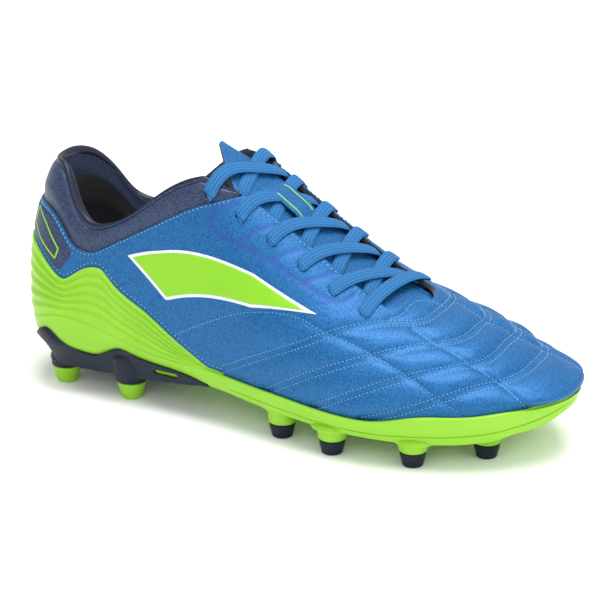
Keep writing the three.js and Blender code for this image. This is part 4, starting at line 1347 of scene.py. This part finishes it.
def sole_face(share, side, level, extra=0.0):
    """Outer face of the sole, smooth from the wall's top (level 0) to the rim (3) and the underside (4)"""
    share, level, extra = np.broadcast_arrays(share, level, extra)
    side = np.broadcast_to(side, share.shape)
    heel_tuck = HEEL_TUCK * ease(level, 0.9, 2.6) * (1 - ease(share, 0.02, 0.085))
    skin = CLEAR + WALL_THICKNESS - TOE_THIN * ease(share, 0.93, 1.0) - toe_pull(share) - heel_tuck + extra
    bite = wall_top(share)
    turn = np.minimum(angle_at_height(share, bite), WALL_TURN)
    top = last_point(share, turn, side, skin)
    top = np.stack([along(share, bite, skin), top[..., 1], bite], -1)
    upper = last_point(share, mix(turn, -1, 1 / 3), side, skin)
    lower = last_point(share, mix(turn, -1, 2 / 3), side, skin)
    rim_z = rim_line(share)
    rim = outline_point(share, side, skin - RIM_INSET, rim_z)
    under_out = UNDERSIDE_OUT - heel_tuck - toe_pull(share) + extra
    under = outline_point(share, side, under_out, rim_z - RIM_CHAMFER)
    t = np.clip(level, 0, 3)
    i = np.minimum(t.astype(int), 2)
    f = (t - i)[..., None]
    knots = np.stack([2 * top - upper, top, upper, lower, rim, 2 * rim - lower])

    def knot(k):
        pick = np.broadcast_to((i + k)[None, ..., None], (1, *i.shape, 3))
        return np.take_along_axis(knots, pick, 0)[0]

    a, b, c, d = (knot(k) for k in range(4))
    curve = 0.5 * (2 * b + (c - a) * f + (2 * a - 5 * b + 4 * c - d) * f**2
                   + (3 * b - a - 3 * c + d) * f**3)
    down = np.clip(level - 3, 0, 1)[..., None]
    bend = down * down * (3 - 2 * down)
    slope = quarter_circle(down)
    rounded = rim * (1 - down) + under * down
    rounded[..., 2] = (rim[..., 2:] * (1 - slope) + under[..., 2:] * slope)[..., 0]
    return np.where(level[..., None] > 3, mix(rounded, mix(rim, under, bend), 0.2), curve)


def outline_point(share, side, out, z, width=1.0):
    half = (half_width(share, side) + out) * end_round(share) * (1 - TUCK(share)) * width
    share, z, half = np.broadcast_arrays(share, z, half)
    return np.stack([along(share, z, out), middle(share) + side * half, z], -1)


# Lip at the sole's top, parting groove and the band under it: levels on the sole's face, depths in mm
LIP_LEVEL = 0.12
LIP_ROUND = 0.7
PARTING_LEVEL = 2.5
PARTING_WIDTH = 0.045
PARTING_DEPTH = 1.0
BAND_DEPTH = 0.35
UNDER_STEPS = 10
# Levels of the sole's face, closer together at the lip, at the parting groove and at the rim
SOLE_LEVELS = np.concatenate([spread(0, 0.14, 6), spread(0.2, 2.36, int(24 * FINE)), spread(2.4, 2.6, 12),
                              spread(2.66, 3, 8), spread(3, 4, 8)[1:]])


def outsole_section(share, side):
    levels = SOLE_LEVELS[None, :]
    lip = 1 - quarter_circle(levels / LIP_LEVEL)
    front = ease(share, 0.40, 0.50)
    groove = bell(levels - PARTING_LEVEL, PARTING_WIDTH) * front
    band = ease(levels, PARTING_LEVEL, PARTING_LEVEL + 0.06) * (1 - ease(levels, 2.95, 3.1)) * front
    extra = -LIP_ROUND * lip - PARTING_DEPTH * groove - BAND_DEPTH * band
    outer = sole_face(share, side, levels, extra)
    pull = toe_pull(share)
    centre_z = rim_line(share) - RIM_CHAMFER
    t = np.linspace(1, 0, UNDER_STEPS)[None, 1:]
    under = outline_point(share, side, UNDERSIDE_OUT - pull, centre_z, t)
    floor = feather(share) - CLEAR
    inner_floor = outline_point(share, side, CLEAR - pull, floor, np.linspace(0, 1, 6)[None, :])
    turn = np.minimum(angle_at_height(share, bite_height(share)), WALL_TURN)
    inner_turns = mix(-1.0, turn, np.linspace(0, 1, 8)[None, 1:])
    inner_wall = last_point(share, inner_turns, side, CLEAR - pull)
    top = inner_wall[:, -1].copy()
    top[:, 2] = wall_top(share)[:, 0]
    top[:, 0] = along(share, wall_top(share), CLEAR - pull)[:, 0]
    inner_wall[:, -1] = top
    return np.concatenate([outer, under, inner_floor, inner_wall], axis=1)


def lathe(profile, centre, sides=32):
    """Points and faces turned from (radius, height) pairs round an upright line"""
    turn = np.arange(sides) * 2 * np.pi / sides
    profile = np.array(profile, float)
    ring = np.stack([profile[:, :1] * np.cos(turn), profile[:, :1] * np.sin(turn),
                     np.repeat(profile[:, 1:], sides, 1)], -1)
    ring = ring + (centre[0], centre[1], 0)
    return ring.reshape(-1, 3), tube_faces(len(profile), sides)


def stud_centre(place):
    at, side, out = place
    return at * LAST_LENGTH, float(middle(at) + side * half_width(at, side) * out)


def arc_profile(r0, z0, r1, z1, bulge, count=6):
    """Profile from one radius and height to another, bowed by bulge"""
    t = np.linspace(0, 1, count)
    return [(mix(r0, r1, f) + bulge * 4 * f * (1 - f), mix(z0, z1, f)) for f in t]


# Studs in millimetres. Tip: height, radius at its foot and top. Base: radius, how deep it starts under the
# sole, how far its shoulder rises at the rear and the front studs, flare along the sole with the part of it
# behind the stud, and how far its boss leans out on to the wall at the front studs.
FOREFOOT_STUD = {
    "height": 7.2, "foot": 5.0, "top": 6.4,
    "radius": 6.9, "sunk": 0.0, "rise_rear": 3.6, "rise_front": 3.6,
    "flare": 3.6, "back_flare": 1.0, "lean": 0.0,
}
HEEL_STUD = {
    "height": 8.6, "foot": 5.25, "top": 7.3,
    "radius": 7.5, "sunk": 1.2, "rise_rear": 5.0, "rise_front": 12.5,
    "flare": 3.2, "back_flare": 0.1, "lean": 7.0,
}
FLARE_OUTER = 0.35
FLARE_TALL = 3.6
STUD_GAP = 0.3
STUD_EDGE = 0.9
AXIS = 0.05


def to_front(at):
    """Runs from 0 at the rear heel studs to 1 at the front ones and all further on"""
    return ease(at, 0.09, 0.17)


def tip_profile(stud):
    """Truncated cone with a rounded wearing edge and a shallow dish under it"""
    foot = stud["foot"]
    inner = foot - STUD_EDGE
    turn = np.linspace(-QUARTER, 0, 6)
    rounded = [(inner + STUD_EDGE * np.cos(a), STUD_EDGE + STUD_EDGE * np.sin(a)) for a in turn]
    return [(AXIS, 0.25), (foot * 0.45, 0.2), (foot * 0.6, 0.0), *rounded,
            *arc_profile(foot + 0.05, 1.6, stud["top"] - 0.1, stud["height"] - 0.25, 0.12)[1:],
            (stud["top"] - 0.35, stud["height"]), (AXIS, stud["height"])]


def stud_base(stud, place, sides=40):
    """Stud base: straight above its tip, flared along the sole into the plate, its shoulder sunk in the
    wall, with a boss that leans outwards on to the wall's face"""
    at, side, _ = place
    low = stud["height"] + STUD_GAP
    under_z = float(rim_height(at)) - RIM_CHAMFER - stud["sunk"]
    top_z = under_z + mix(stud["rise_rear"], stud["rise_front"], to_front(at))
    radius, flare = stud["radius"], stud["flare"]
    turn = np.linspace(0, QUARTER, 9)
    tall = min(FLARE_TALL, under_z - low)
    rows = [(AXIS, low, 0.0), (stud["top"] - 0.1, low, 0.0), (stud["top"] + 0.25, low + 0.3, 0.0)]
    rows += [(radius, under_z - tall * (1 - np.sin(a)), 1 - np.cos(a)) for a in turn]
    rows += [(radius * np.cos(a) ** 0.4, mix(under_z, top_z, np.sin(a)), np.cos(a)) for a in turn[1:-1]]
    rows.append((AXIS, top_z, 0.0))
    angle = np.arange(sides) * 2 * np.pi / sides
    centre = stud_centre(place)
    ring = []
    for reach, z, spread_by in rows:
        lengthwise = reach + flare * spread_by * np.where(np.cos(angle) < 0, stud["back_flare"], 1.0)
        crosswise = reach + flare * spread_by * np.where(np.sin(angle) * side > 0, FLARE_OUTER, 1.0)
        aside = side * stud["lean"] * to_front(at) * np.clip((z - low) / (top_z - low), 0, 1)
        ring.append(np.stack([centre[0] + lengthwise * np.cos(angle),
                              centre[1] + aside + crosswise * np.sin(angle), np.full(sides, z)], -1))
    return np.concatenate(ring), tube_faces(len(rows), sides)


def build_studs(body, places, stud, tip_material, prefix):
    """Stud bases gathered with the body's points, and each tip as a piece in place of its solid"""
    for name, place in places.items():
        body.take(*stud_base(stud, place))
        points, faces = lathe(tip_profile(stud), stud_centre(place))
        node = f"{prefix}_{name}"
        new_piece(f"{node}_moulded", points, faces, [tip_material], [node], smooth=50)


def build_outsole():
    stations = fine_stations()
    points, faces, keep = horseshoe(stations, outsole_section, joined=lambda share: share > -1,
                                    open_column=len(SOLE_LEVELS) + UNDER_STEPS - 2)
    body = Gathered()
    body.take(points.reshape(-1, 3), faces[keep])
    build_studs(body, FOREFOOT_STUDS, FOREFOOT_STUD, NAVY_RUBBER, "stud_tip_forefoot")
    new_piece("outsole_moulded", np.concatenate(body.points), body.faces, [LIME_RUBBER],
              ["outsole"], smooth=45)


def frame_level(share):
    """Level on the sole's side where the heel frame's upper edge runs"""
    share = share[:, 0]
    wanted = feather(share) + FRAME_TOP(share) * SIDE_WALL
    levels = np.linspace(0, 2.85, 120)
    heights = sole_face(share[:, None], OUTER, levels[None, :])[..., 2]
    below = heights <= wanted[:, None]
    first = np.where(below.any(1), np.argmax(below, axis=1), len(levels) - 1)
    return levels[first][:, None]


FORK_ROUND = 0.02
FRAME_ROUND = 0.7
FRAME_COLUMNS = 26


def frame_reach(share):
    """Share of the underside's half width that the frame leaves open in the fork"""
    half = half_width(share, INNER) + UNDERSIDE_OUT
    open_part = np.clip((half - FORK_RAIL) / half, 0, 1)
    return np.where(share <= FORK_START, 0.0, open_part * quarter_circle((share - FORK_START) / FORK_ROUND))


def frame_section(share, side):
    start = frame_level(share)
    t = np.linspace(0, 1, FRAME_COLUMNS)[None, :]
    levels = mix(start, 4.0, t)
    edge = (levels - start) * SIDE_WALL * 0.55
    fall = 1 - quarter_circle(edge / FRAME_ROUND)
    nose = ease(share, FRAME_END - 0.05, FRAME_END)
    thick = mix(FRAME_THICKNESS, 0.5, nose)
    far = sole_face(share, side, levels, 0.15 + thick - 0.8 * fall * thick / FRAME_THICKNESS)
    drop = thick * ease(levels, 2.6, 3.2)
    far[..., 2] -= drop
    near = sole_face(share, side, levels[:, ::-1], 0.05)
    gap = frame_reach(share)
    inward = mix(1.0, gap, np.linspace(0, 1, 8)[None, 1:])
    under_z = rim_height(share) - RIM_CHAMFER
    floor_far = outline_point(share, side, UNDERSIDE_OUT, under_z - thick, inward)
    floor_near = outline_point(share, side, UNDERSIDE_OUT, under_z - 0.05, inward[:, ::-1])
    return np.concatenate([far, floor_far, floor_near, near], axis=1)


# Window in each arm of the frame: shares of the length, height, and depth under the feather as a share
SLOT = {"from": 0.283, "to": 0.337, "height": 2.5, "under": 0.12}


def slot_cutter():
    """Bar with round ends that cuts the window in each arm of the frame"""
    at = (SLOT["from"] + SLOT["to"]) / 2
    height = SLOT["height"] / 1000
    work = bmesh.new()
    made = bmesh.ops.create_cube(work, size=1.0)
    size = ((SLOT["to"] - SLOT["from"]) * LAST_LENGTH / 1000, 0.2, height)
    bmesh.ops.scale(work, vec=size, verts=made["verts"])
    upright = [edge for edge in work.edges if abs((edge.verts[0].co - edge.verts[1].co).y) > 0.1]
    bmesh.ops.bevel(work, geom=upright, offset=height * 0.47, segments=5, affect="EDGES")
    place = to_frame((at * LAST_LENGTH, 0, feather(at) - SLOT["under"] * SIDE_WALL))
    bmesh.ops.translate(work, vec=Vector(place), verts=work.verts)
    return cutter("slot_punch", work)


def build_heel_frame():
    stations = fine_stations(FRAME_END)
    points, faces, keep = horseshoe(stations, frame_section,
                                    joined=lambda share: share <= FORK_START, open_column=FRAME_COLUMNS + 6)
    all_faces = [*faces[keep], *end_faces(*points.shape[:2])]
    frame_piece = new_piece("heel_frame_moulded", points.reshape(-1, 3), all_faces, [NAVY_RUBBER],
                            ["heel_frame"], smooth=50)
    punched(frame_piece, slot_cutter())
    bases = Gathered()
    build_studs(bases, HEEL_STUDS, HEEL_STUD, LIME_RUBBER, "stud_tip_heel")
    bases.piece("heel_stud_bases", NAVY_RUBBER, "sole_navy", smooth=50)


INSOLE_COLUMNS = 12


def insole_section(share, side):
    at = share * (1 - INSOLE_TOE_GAP / LAST_LENGTH)
    toe = np.clip((1 - share) * LAST_LENGTH / INSOLE_TOE_ROUND, 0, 1)
    wide = (1 - (1 - toe) ** TOE_POWER) ** (1 / TOE_POWER)
    low = feather(at) + CLEAR / 2
    t = np.linspace(1, 0, INSOLE_COLUMNS)[None, :]
    cup = 1.2 * t**4
    top = outline_point(at, side, -(WALL + CLEAR), low + INSOLE_THICKNESS + cup - 0.4, wide * t)
    bottom = outline_point(at, side, -(WALL + CLEAR), low, wide * t[:, ::-1])
    return np.concatenate([top, bottom], axis=1)


def build_insole():
    points, faces, keep = horseshoe(fine_stations(), insole_section, joined=lambda share: share > -1,
                                    open_column=INSOLE_COLUMNS - 1)
    new_piece("sock_lining", points.reshape(-1, 3), faces[keep], [SOCK], ["insole"])


TONGUE_POINT = 18.0
TONGUE_GAP = 0.6


def tongue_half(share, side):
    """Half the tongue's width: it comes to a point at its top, and falls away more on the inner side"""
    t = np.clip((share - TONGUE_FROM) / (TONGUE_WIDE_AT - TONGUE_FROM), 0, 1)
    body = mix(TONGUE_WIDTH - 1.0, TONGUE_WIDTH, t) / 2
    opening = THROAT_HALF[INNER](share) * THROAT_WIDTH - TONGUE_GAP
    body = np.where(side > 0, mix(body, np.minimum(body, opening), ease(share, 0.40, 0.44)), body)
    reach = np.where(side < 0, TONGUE_POINT, 2 * TONGUE_POINT)
    u = np.clip((share - TONGUE_FROM) * LAST_LENGTH / reach, 0, 1)
    return body * (0.13 + 0.87 * np.where(side < 0, 1 - (1 - u) ** 1.3, u**1.5))


TONGUE_COLUMNS = 40
TIP_SLANT = 0.62
BINDING = 1.6
TONGUE_SEAM_IN = 3.6
TONGUE_SEAM_DEPTH = 0.35


def build_tongue():
    """Padded tongue: blue leather over foam, whose cut edge shows dark round the rim"""
    tip = TONGUE_FROM + 2 * TONGUE_POINT / LAST_LENGTH
    share = np.concatenate([np.linspace(TONGUE_FROM, tip, int(80 * FINE))[:-1],
                            np.linspace(tip, TONGUE_TO, int(130 * FINE))])[:, None]
    v = np.sin(np.linspace(-1, 1, TONGUE_COLUMNS) * QUARTER)[None, :]
    half = tongue_half(share, v)
    top = -(WALL + TONGUE_CLEAR)
    y = middle(share) + v * half
    slant = np.where(share < tip, TIP_SLANT, 1.0)
    near = (1 - np.abs(v)) * half * slant
    roll = 1 - quarter_circle(near / BINDING)
    seam = TONGUE_SEAM_DEPTH * bell(near - TONGUE_SEAM_IN, 0.9)
    outer_out = top - BINDING * roll - seam
    x = np.broadcast_to(share * LAST_LENGTH, outer_out.shape)
    outer = over_last(x + outer_out * (2 * share - 1), y, outer_out)
    inner_out = top - TONGUE_THICKNESS + 0.8 * roll
    inner = over_last(x + inner_out * (2 * share - 1), y, inner_out)[:, ::-1]
    points = np.concatenate([outer, inner], axis=1)
    rows, columns = points.shape[:2]
    slots = np.ones((rows - 1, columns), int)
    inside = near[:-1, :-1] > 0.9
    slots[:, :TONGUE_COLUMNS - 1] = np.where(inside, 0, 1)
    return new_piece("tongue_padded", points.reshape(-1, 3), tube_faces(rows, columns),
                     [BLUE_LEATHER, FOAM], ["tongue"],
                     slots=np.concatenate([slots.ravel(), [1, 1]]))


def skin_normal(x, y):
    """Unit vectors out of the skin at places in plan"""
    small = 0.1
    forward = over_last(x + small, y, 0.0) - over_last(x - small, y, 0.0)
    inward = over_last(x, y + small, 0.0) - over_last(x, y - small, 0.0)
    return unit(np.cross(forward, inward))


# Lace in millimetres: its bend into an eyelet, how far past the middle it goes down and how deep, and what
# share of its width is left in the hole
LACE_SIDES = 20
BEND_RADIUS = 1.9
PAST_HOLE = 1.3
HOLE_DEPTH = 4.0
SQUEEZED = 0.66


class Crossing:
    """A straight run in plan from one eyelet to another, measured in millimetres over the skin"""

    def __init__(self, start, end):
        self.start = np.array(start)
        self.end = np.array(end)
        self.t = np.linspace(-0.2, 1.2, 700)
        points = over_last(*self.plan(self.t), 0.0)
        measure = arc(points)
        self.measure = measure - np.interp(0.0, self.t, measure)
        self.length = float(np.interp(1.0, self.t, self.measure))

    def plan(self, t):
        return mix(self.start[0], self.end[0], t), mix(self.start[1], self.end[1], t)

    def at(self, distance_mm):
        return self.plan(np.interp(distance_mm, self.measure, self.t))

    def throat(self, side):
        """Distance at which the run crosses the throat's edge on one side"""
        x, y = self.plan(self.t)
        wide = THROAT_HALF[side](x / LAST_LENGTH) * THROAT_WIDTH
        off = side * (y - middle(x / LAST_LENGTH)) - wide
        inside = (self.t > 0) & (self.t < 1)
        return float(self.measure[inside][np.argmin(np.abs(off[inside]))])


def dive(run, distance_mm, height, sign):
    """Points of the lace's end, which bends into its hole at distance_mm"""
    x, y = run.at(np.array([distance_mm - sign * BEND_RADIUS, distance_mm - sign * (BEND_RADIUS + 0.2)]))
    ground = over_last(x, y, 0.0)
    normal = skin_normal(x, y)[0]
    ahead = unit(ground[0] - ground[1])
    turn = np.linspace(0, QUARTER, 9)[1:, None]
    bent = (ground[0] + normal * (height - BEND_RADIUS * (1 - np.cos(turn)))
            + ahead * BEND_RADIUS * np.sin(turn))
    down = bent[-1] - normal * np.linspace(0, HOLE_DEPTH, 6)[1:, None]
    return np.concatenate([bent, down])


def lace_run(run, knots, plunges, gathered, marks, start_mm):
    """One run of flat lace: knots give its height over the skin, plunges say which ends dive into a hole"""
    head = -PAST_HOLE + BEND_RADIUS if plunges[0] else 0.0
    tail = run.length + PAST_HOLE - BEND_RADIUS if plunges[1] else run.length
    d = np.linspace(head, tail, int((tail - head) / 0.45 * FINE) + 8)
    xs, ys = zip(*knots)
    height = smooth_through(xs, ys, d)
    x, y = run.at(d)
    normal = skin_normal(x, y)
    centre = over_last(x, y, 0.0) + normal * height[:, None]
    narrow = np.ones(len(centre))
    ups = normal
    if plunges[1]:
        end = dive(run, run.length + PAST_HOLE, height[-1], 1)
        centre = np.concatenate([centre, end])
        ups = np.concatenate([ups, np.repeat(normal[-1:], len(end), axis=0)])
        narrow = np.concatenate([narrow, mix(1.0, SQUEEZED, ease(np.arange(len(end)), 1, 9))])
    if plunges[0]:
        end = dive(run, -PAST_HOLE, height[0], -1)[::-1]
        centre = np.concatenate([end, centre])
        ups = np.concatenate([np.repeat(normal[:1], len(end), axis=0), ups])
        narrow = np.concatenate([mix(1.0, SQUEEZED, ease(np.arange(len(end)), 1, 9))[::-1], narrow])
    ahead = unit(np.gradient(centre, axis=0))
    line = over_last(*run.at(run.length), 0.0) - over_last(*run.at(0.0), 0.0)
    across = np.cross(ups, line)
    across = unit(across - ahead * (across * ahead).sum(1, keepdims=True))
    up = np.cross(ahead, across)
    turn = np.arange(LACE_SIDES) * 2 * np.pi / LACE_SIDES
    flat = np.sign(np.cos(turn)) * np.abs(np.cos(turn)) ** 0.6
    rise = np.sign(np.sin(turn)) * np.abs(np.sin(turn)) ** 0.9
    crown = 0.22 * (1 - flat**2)
    width = (narrow * LACE_WIDTH / 2)[:, None, None]
    thick = ((2 - narrow) * LACE_THICKNESS / 2)[:, None, None]
    points = (centre[:, None] + across[:, None] * flat[None, :, None] * width
              + up[:, None] * (rise + crown)[None, :, None] * thick)
    count = len(centre)
    measure = arc(centre) + start_mm
    gathered.take(points.reshape(-1, 3), tube_faces(count, LACE_SIDES))
    mark = np.stack([np.repeat(measure[:, None], LACE_SIDES, axis=1),
                     np.broadcast_to(flat * LACE_WIDTH / 2, (count, LACE_SIDES)),
                     np.zeros((count, LACE_SIDES))], -1)
    marks.append(mark.reshape(-1, 3))


# Heights of the lace's middle over the skin
UNDER_STAY = -WALL - 0.72
OVER_STAY = 0.85
OVER_COLLAR = 1.6
LOW_CROSSING = -1.6
HIGH_CROSSING = -0.2
LOOP_CROSSING = (-2.5, -1.1)


def eyelet_xy(k, side):
    share, angle = eyelet_places(side)
    point = last_point(share[k], angle[k], side)
    return point[0], point[1]


def lace_leg(k, side, crossing, lace, marks):
    """From under the stay at eyelet k of one side, over the tongue, into eyelet k - 1 of the other"""
    run = Crossing(eyelet_xy(k, side), eyelet_xy(k - 1, -side))
    out_of = run.throat(side)
    onto = run.throat(-side)
    over = OVER_COLLAR if k == 1 else OVER_STAY
    knots = [
        (-1.0, UNDER_STAY), (out_of - 0.5, UNDER_STAY), (out_of + 4.5, mix(UNDER_STAY, crossing, 0.65)),
        ((out_of + onto) / 2, crossing), (onto - 3.5, mix(crossing, over, 0.75)), (onto + 0.8, over),
        (run.length + 3, over),
    ]
    start_mm = 41.7 * k + 17.3 * side  # so that the braid doesn't line up from run to run
    lace_run(run, knots, (False, True), lace, marks, start_mm)


def build_laces():
    lace = Gathered()
    marks = []
    bottom = EYELET_PAIRS - 1
    bar = Crossing(eyelet_xy(bottom, OUTER), eyelet_xy(bottom, INNER))
    near_edge = bar.throat(OUTER)
    far_edge = bar.throat(INNER)
    knots = [
        (-3.0, OVER_STAY), (near_edge - 1.0, OVER_STAY), ((near_edge + far_edge) / 2, OVER_STAY - 0.5),
        (far_edge + 1.0, OVER_STAY), (bar.length + 3, OVER_STAY),
    ]
    lace_run(bar, knots, (True, True), lace, marks, 0.0)
    for k in range(bottom, 0, -1):
        low, high = LOOP_CROSSING if k == 2 else (LOW_CROSSING, HIGH_CROSSING)
        lace_leg(k, OUTER, low, lace, marks)
        lace_leg(k, INNER, high, lace, marks)
    new_piece("lace_flat", np.concatenate(lace.points), lace.faces, [LACE], ["laces"],
              marks={"lace_mm": np.concatenate(marks)})


# Plain panel on each side: six corners as shares of the length and turns up the side; edge and lift in mm
PANEL = [(0.235, 0.41), (0.300, 0.47), (0.478, 0.69), (0.597, 0.72), (0.480, 0.44), (0.312, 0.22)]
PANEL_EDGE = 1.6
PANEL_LIFT = 0.35


def drawn_in(corners, inset):
    """The same corners after every edge between them moves inwards by inset millimetres"""
    share, angle = np.array(corners, float).T
    flat = np.stack([share * LAST_LENGTH, climb(share, angle)], -1)
    edge = unit(np.roll(flat, -1, axis=0) - flat)
    after = np.stack([edge[:, 1], -edge[:, 0]], -1)
    before = np.roll(after, 1, axis=0)
    moved = flat + inset * (before + after) / (1 + (before * after).sum(axis=1, keepdims=True))
    share = moved[:, 0] / LAST_LENGTH
    return share, turn_at(share, moved[:, 1])


def outline_through(corners, count):
    """Closed line through corners on the skin, each corner a little cut"""
    corners = np.stack(corners, -1)
    after = np.roll(corners, -1, axis=0)
    t = np.linspace(0.02, 0.98, count)[:, None, None]
    line = mix(corners[None], after[None], t).transpose(1, 0, 2).reshape(-1, 2)
    return line[:, 0], line[:, 1]


def film_patch(name, corners, side, rings, materials, ring_slots, lift):
    """A thin film on the skin: rings drawn in from its outline, by millimetres and then by shares"""
    middle_at = np.array(corners, float).mean(axis=0)
    rows = []
    for inset, left, height in rings:
        share, angle = outline_through(drawn_in(corners, inset), int(30 * FINE) + 6)
        s = mix(middle_at[0], share, left)
        a = mix(middle_at[1], angle, left)
        rows.append(last_point(s, a, side, upper_relief(s, a, side) + height * lift))
    points = np.stack(rows)
    columns = points.shape[1]
    faces = grid_faces(len(rows), columns, ring=True)
    slots = np.repeat(np.array(ring_slots)[:, None], columns, axis=1)
    last = (len(rows) - 1) * columns
    fan = [(last + j, len(rows) * columns, last + (j + 1) % columns) for j in range(columns)]
    everything = np.concatenate([points.reshape(-1, 3), rows[-1].mean(axis=0, keepdims=True)])
    return new_piece(name, everything, [*faces.reshape(-1, 4), *fan], materials,
                     slots=np.concatenate([slots.ravel(), np.full(columns, ring_slots[-1])]), smooth=40)


def build_side_panels():
    for side, label in ((OUTER, "outer"), (INNER, "inner")):
        edge = PANEL_EDGE
        rings = [(0.0, 1, -0.6), (0.1, 1, 0.7), (0.35, 1, 1.0), (edge, 1, 1.0), (edge + 0.1, 1, 1.35)]
        rings += [(edge + 0.4, left, 1.5) for left in (1.0, 0.85, 0.7, 0.55, 0.4, 0.25, 0.1)]
        ring_slots = [1] * 3 + [0] * (len(rings) - 4)
        film_patch(f"side_panel_{label}", PANEL, side, rings, [LIME_FILM, WHITE_FILM], ring_slots,
                   PANEL_LIFT)


# Tongue's loop in millimetres: from and to along the boot, its two sides, the heights over the last of its
# ends and its arch, its thickness and its rounded sides
LOOP_FROM = 124.0
LOOP_TO = 149.0
LOOP_SIDES = (-6.5, 9.5)
LOOP_FOOT = -2.9
LOOP_TOP = 0.25
LOOP_THICKNESS = 0.8
LOOP_ROUND = 0.6
LOOP_ROUND_DEPTH = 0.35


def loop_place(x_share, y_share):
    """Point of the loop's upper face: it lies on the tongue at its ends and arches over the lace"""
    x = mix(LOOP_FROM, LOOP_TO, x_share)
    y = mix(*LOOP_SIDES, y_share)
    hump = ease(x_share, 0.0, 0.34) * (1 - ease(x_share, 0.66, 1.0))
    return x, y, mix(LOOP_FOOT, LOOP_TOP, hump)


def build_tongue_loop():
    """Loop on the tongue, open at its sides, through which the lace runs"""
    t = np.linspace(0, 1, 60)[:, None]
    v = np.linspace(0, 1, 24)[None, :]
    x, y, top = loop_place(t, v)
    near = np.minimum(v, 1 - v) * (LOOP_SIDES[1] - LOOP_SIDES[0])
    roll = LOOP_ROUND_DEPTH * (1 - quarter_circle(near / LOOP_ROUND))
    x, y, top = np.broadcast_arrays(x, y, top - roll)
    outer = over_last(x, y, top)
    inner = over_last(x, y, top - LOOP_THICKNESS)[:, ::-1]
    points = np.concatenate([outer, inner], axis=1)
    new_piece("tongue_loop_strap", points.reshape(-1, 3), tube_faces(*points.shape[:2]), [BLUE_LEATHER],
              ["tongue_loop"])


def loop_keyline():
    """Generic lime lines printed along both edges of the loop"""
    lines = Gathered()
    for edge in (0.16, 0.84):
        t = np.linspace(0.2, 0.8, 40)
        x, y, top = loop_place(t, np.full_like(t, edge))
        rows = []
        for offset, lift in ((-0.45, -0.1), (-0.35, 0.1), (0.35, 0.1), (0.45, -0.1)):
            rows.append(over_last(x, y + offset, top + lift))
        points = np.stack(rows, axis=1)
        lines.take(points.reshape(-1, 3), tube_faces(*points.shape[:2]))
    lines.piece("tongue_loop_lines", LIME_FILM, "sole_lime")


# Generic keyline printed on each end of the heel patch: corners as share and turn
KEYLINE = [(0.030, 0.560), (0.062, 0.500), (0.098, 0.395), (0.092, 0.345), (0.052, 0.415), (0.026, 0.480)]


def patch_keyline():
    lines = Gathered()
    for side in (OUTER, INNER):
        corners = np.array(KEYLINE)
        after = np.roll(corners, -1, axis=0)
        steps = np.linspace(0, 1, 8)[:-1, None, None]
        path = mix(corners[None], after[None], steps).transpose(1, 0, 2).reshape(-1, 2)
        lines.take(*closed_strip(path.T, side, width=0.9, height=0.25, lift=0.62, sides=6))
    lines.piece("heel_patch_lines", LIME_FILM, "sole_lime")


build_upper()
build_collar()
build_counter()
build_patch()
build_outsole()
build_heel_frame()
build_insole()
build_tongue()
build_tongue_loop()
loop_keyline()
patch_keyline()
build_laces()
build_side_panels()
sew_upper()
stitches.piece("seam_stitches", BLUE_THREAD, "upper_blue")
hole_shades.piece("needle_hole_shades", NEEDLE_HOLE_SHADE, "upper_blue")


# Camera at the photograph's angle
TARGET = Vector((0.000168, -0.001199, 0.0543))
AZIMUTH = np.radians(25.5)
ELEVATION = np.radians(21.7)
CAMERA_DISTANCE = 1.3


def aim(thing, target):
    thing.rotation_euler = (target - thing.location).to_track_quat("-Z", "Y").to_euler()


camera = in_scene("camera", bpy.data.cameras.new("camera"))
level_reach = np.cos(ELEVATION)
back = Vector((np.sin(AZIMUTH) * level_reach, -np.cos(AZIMUTH) * level_reach, np.sin(ELEVATION)))
camera.location = TARGET + back * CAMERA_DISTANCE
aim(camera, TARGET)
camera.data.sensor_width = 36.0
camera.data.lens = 164.7
camera.data.clip_start = 0.01
camera.data.clip_end = 50.0
bpy.context.scene.camera = camera


def softbox(name, place, size, power):
    lamp = bpy.data.lights.new(name, "AREA")
    lamp.shape = "RECTANGLE"
    lamp.size, lamp.size_y = size
    lamp.energy = power
    box = in_scene(name, lamp)
    box.location = place
    aim(box, Vector((0, 0, 0.05)))


softbox("softbox_top", (0.1, 0.05, 1.4), (1.1, 0.9), 23)
softbox("softbox_front", (0.4, -1.3, 0.9), (0.9, 0.7), 4.5)
softbox("softbox_toe", (1.3, -0.3, 0.8), (0.7, 0.7), 3)

floor_mesh = bpy.data.meshes.new("studio_floor")
floor_mesh.from_pydata([(-6, -6, 0), (6, -6, 0), (6, 6, 0), (-6, 6, 0)], [], [(0, 1, 2, 3)])
floor = in_scene("studio_floor", floor_mesh)
board = finish("matt_white_studio_board", Base_Color=linear("#fbfbfa"), Roughness=0.9, IOR=1.45)[0]
floor_mesh.materials.append(board)

world = bpy.data.worlds.new("studio_air")
world.use_nodes = True
world.node_tree.nodes["Background"].inputs["Color"].default_value = (1.0, 1.0, 1.0, 1.0)
world.node_tree.nodes["Background"].inputs["Strength"].default_value = 0.78
bpy.context.scene.world = world
bpy.context.scene.view_settings.view_transform = "Standard"
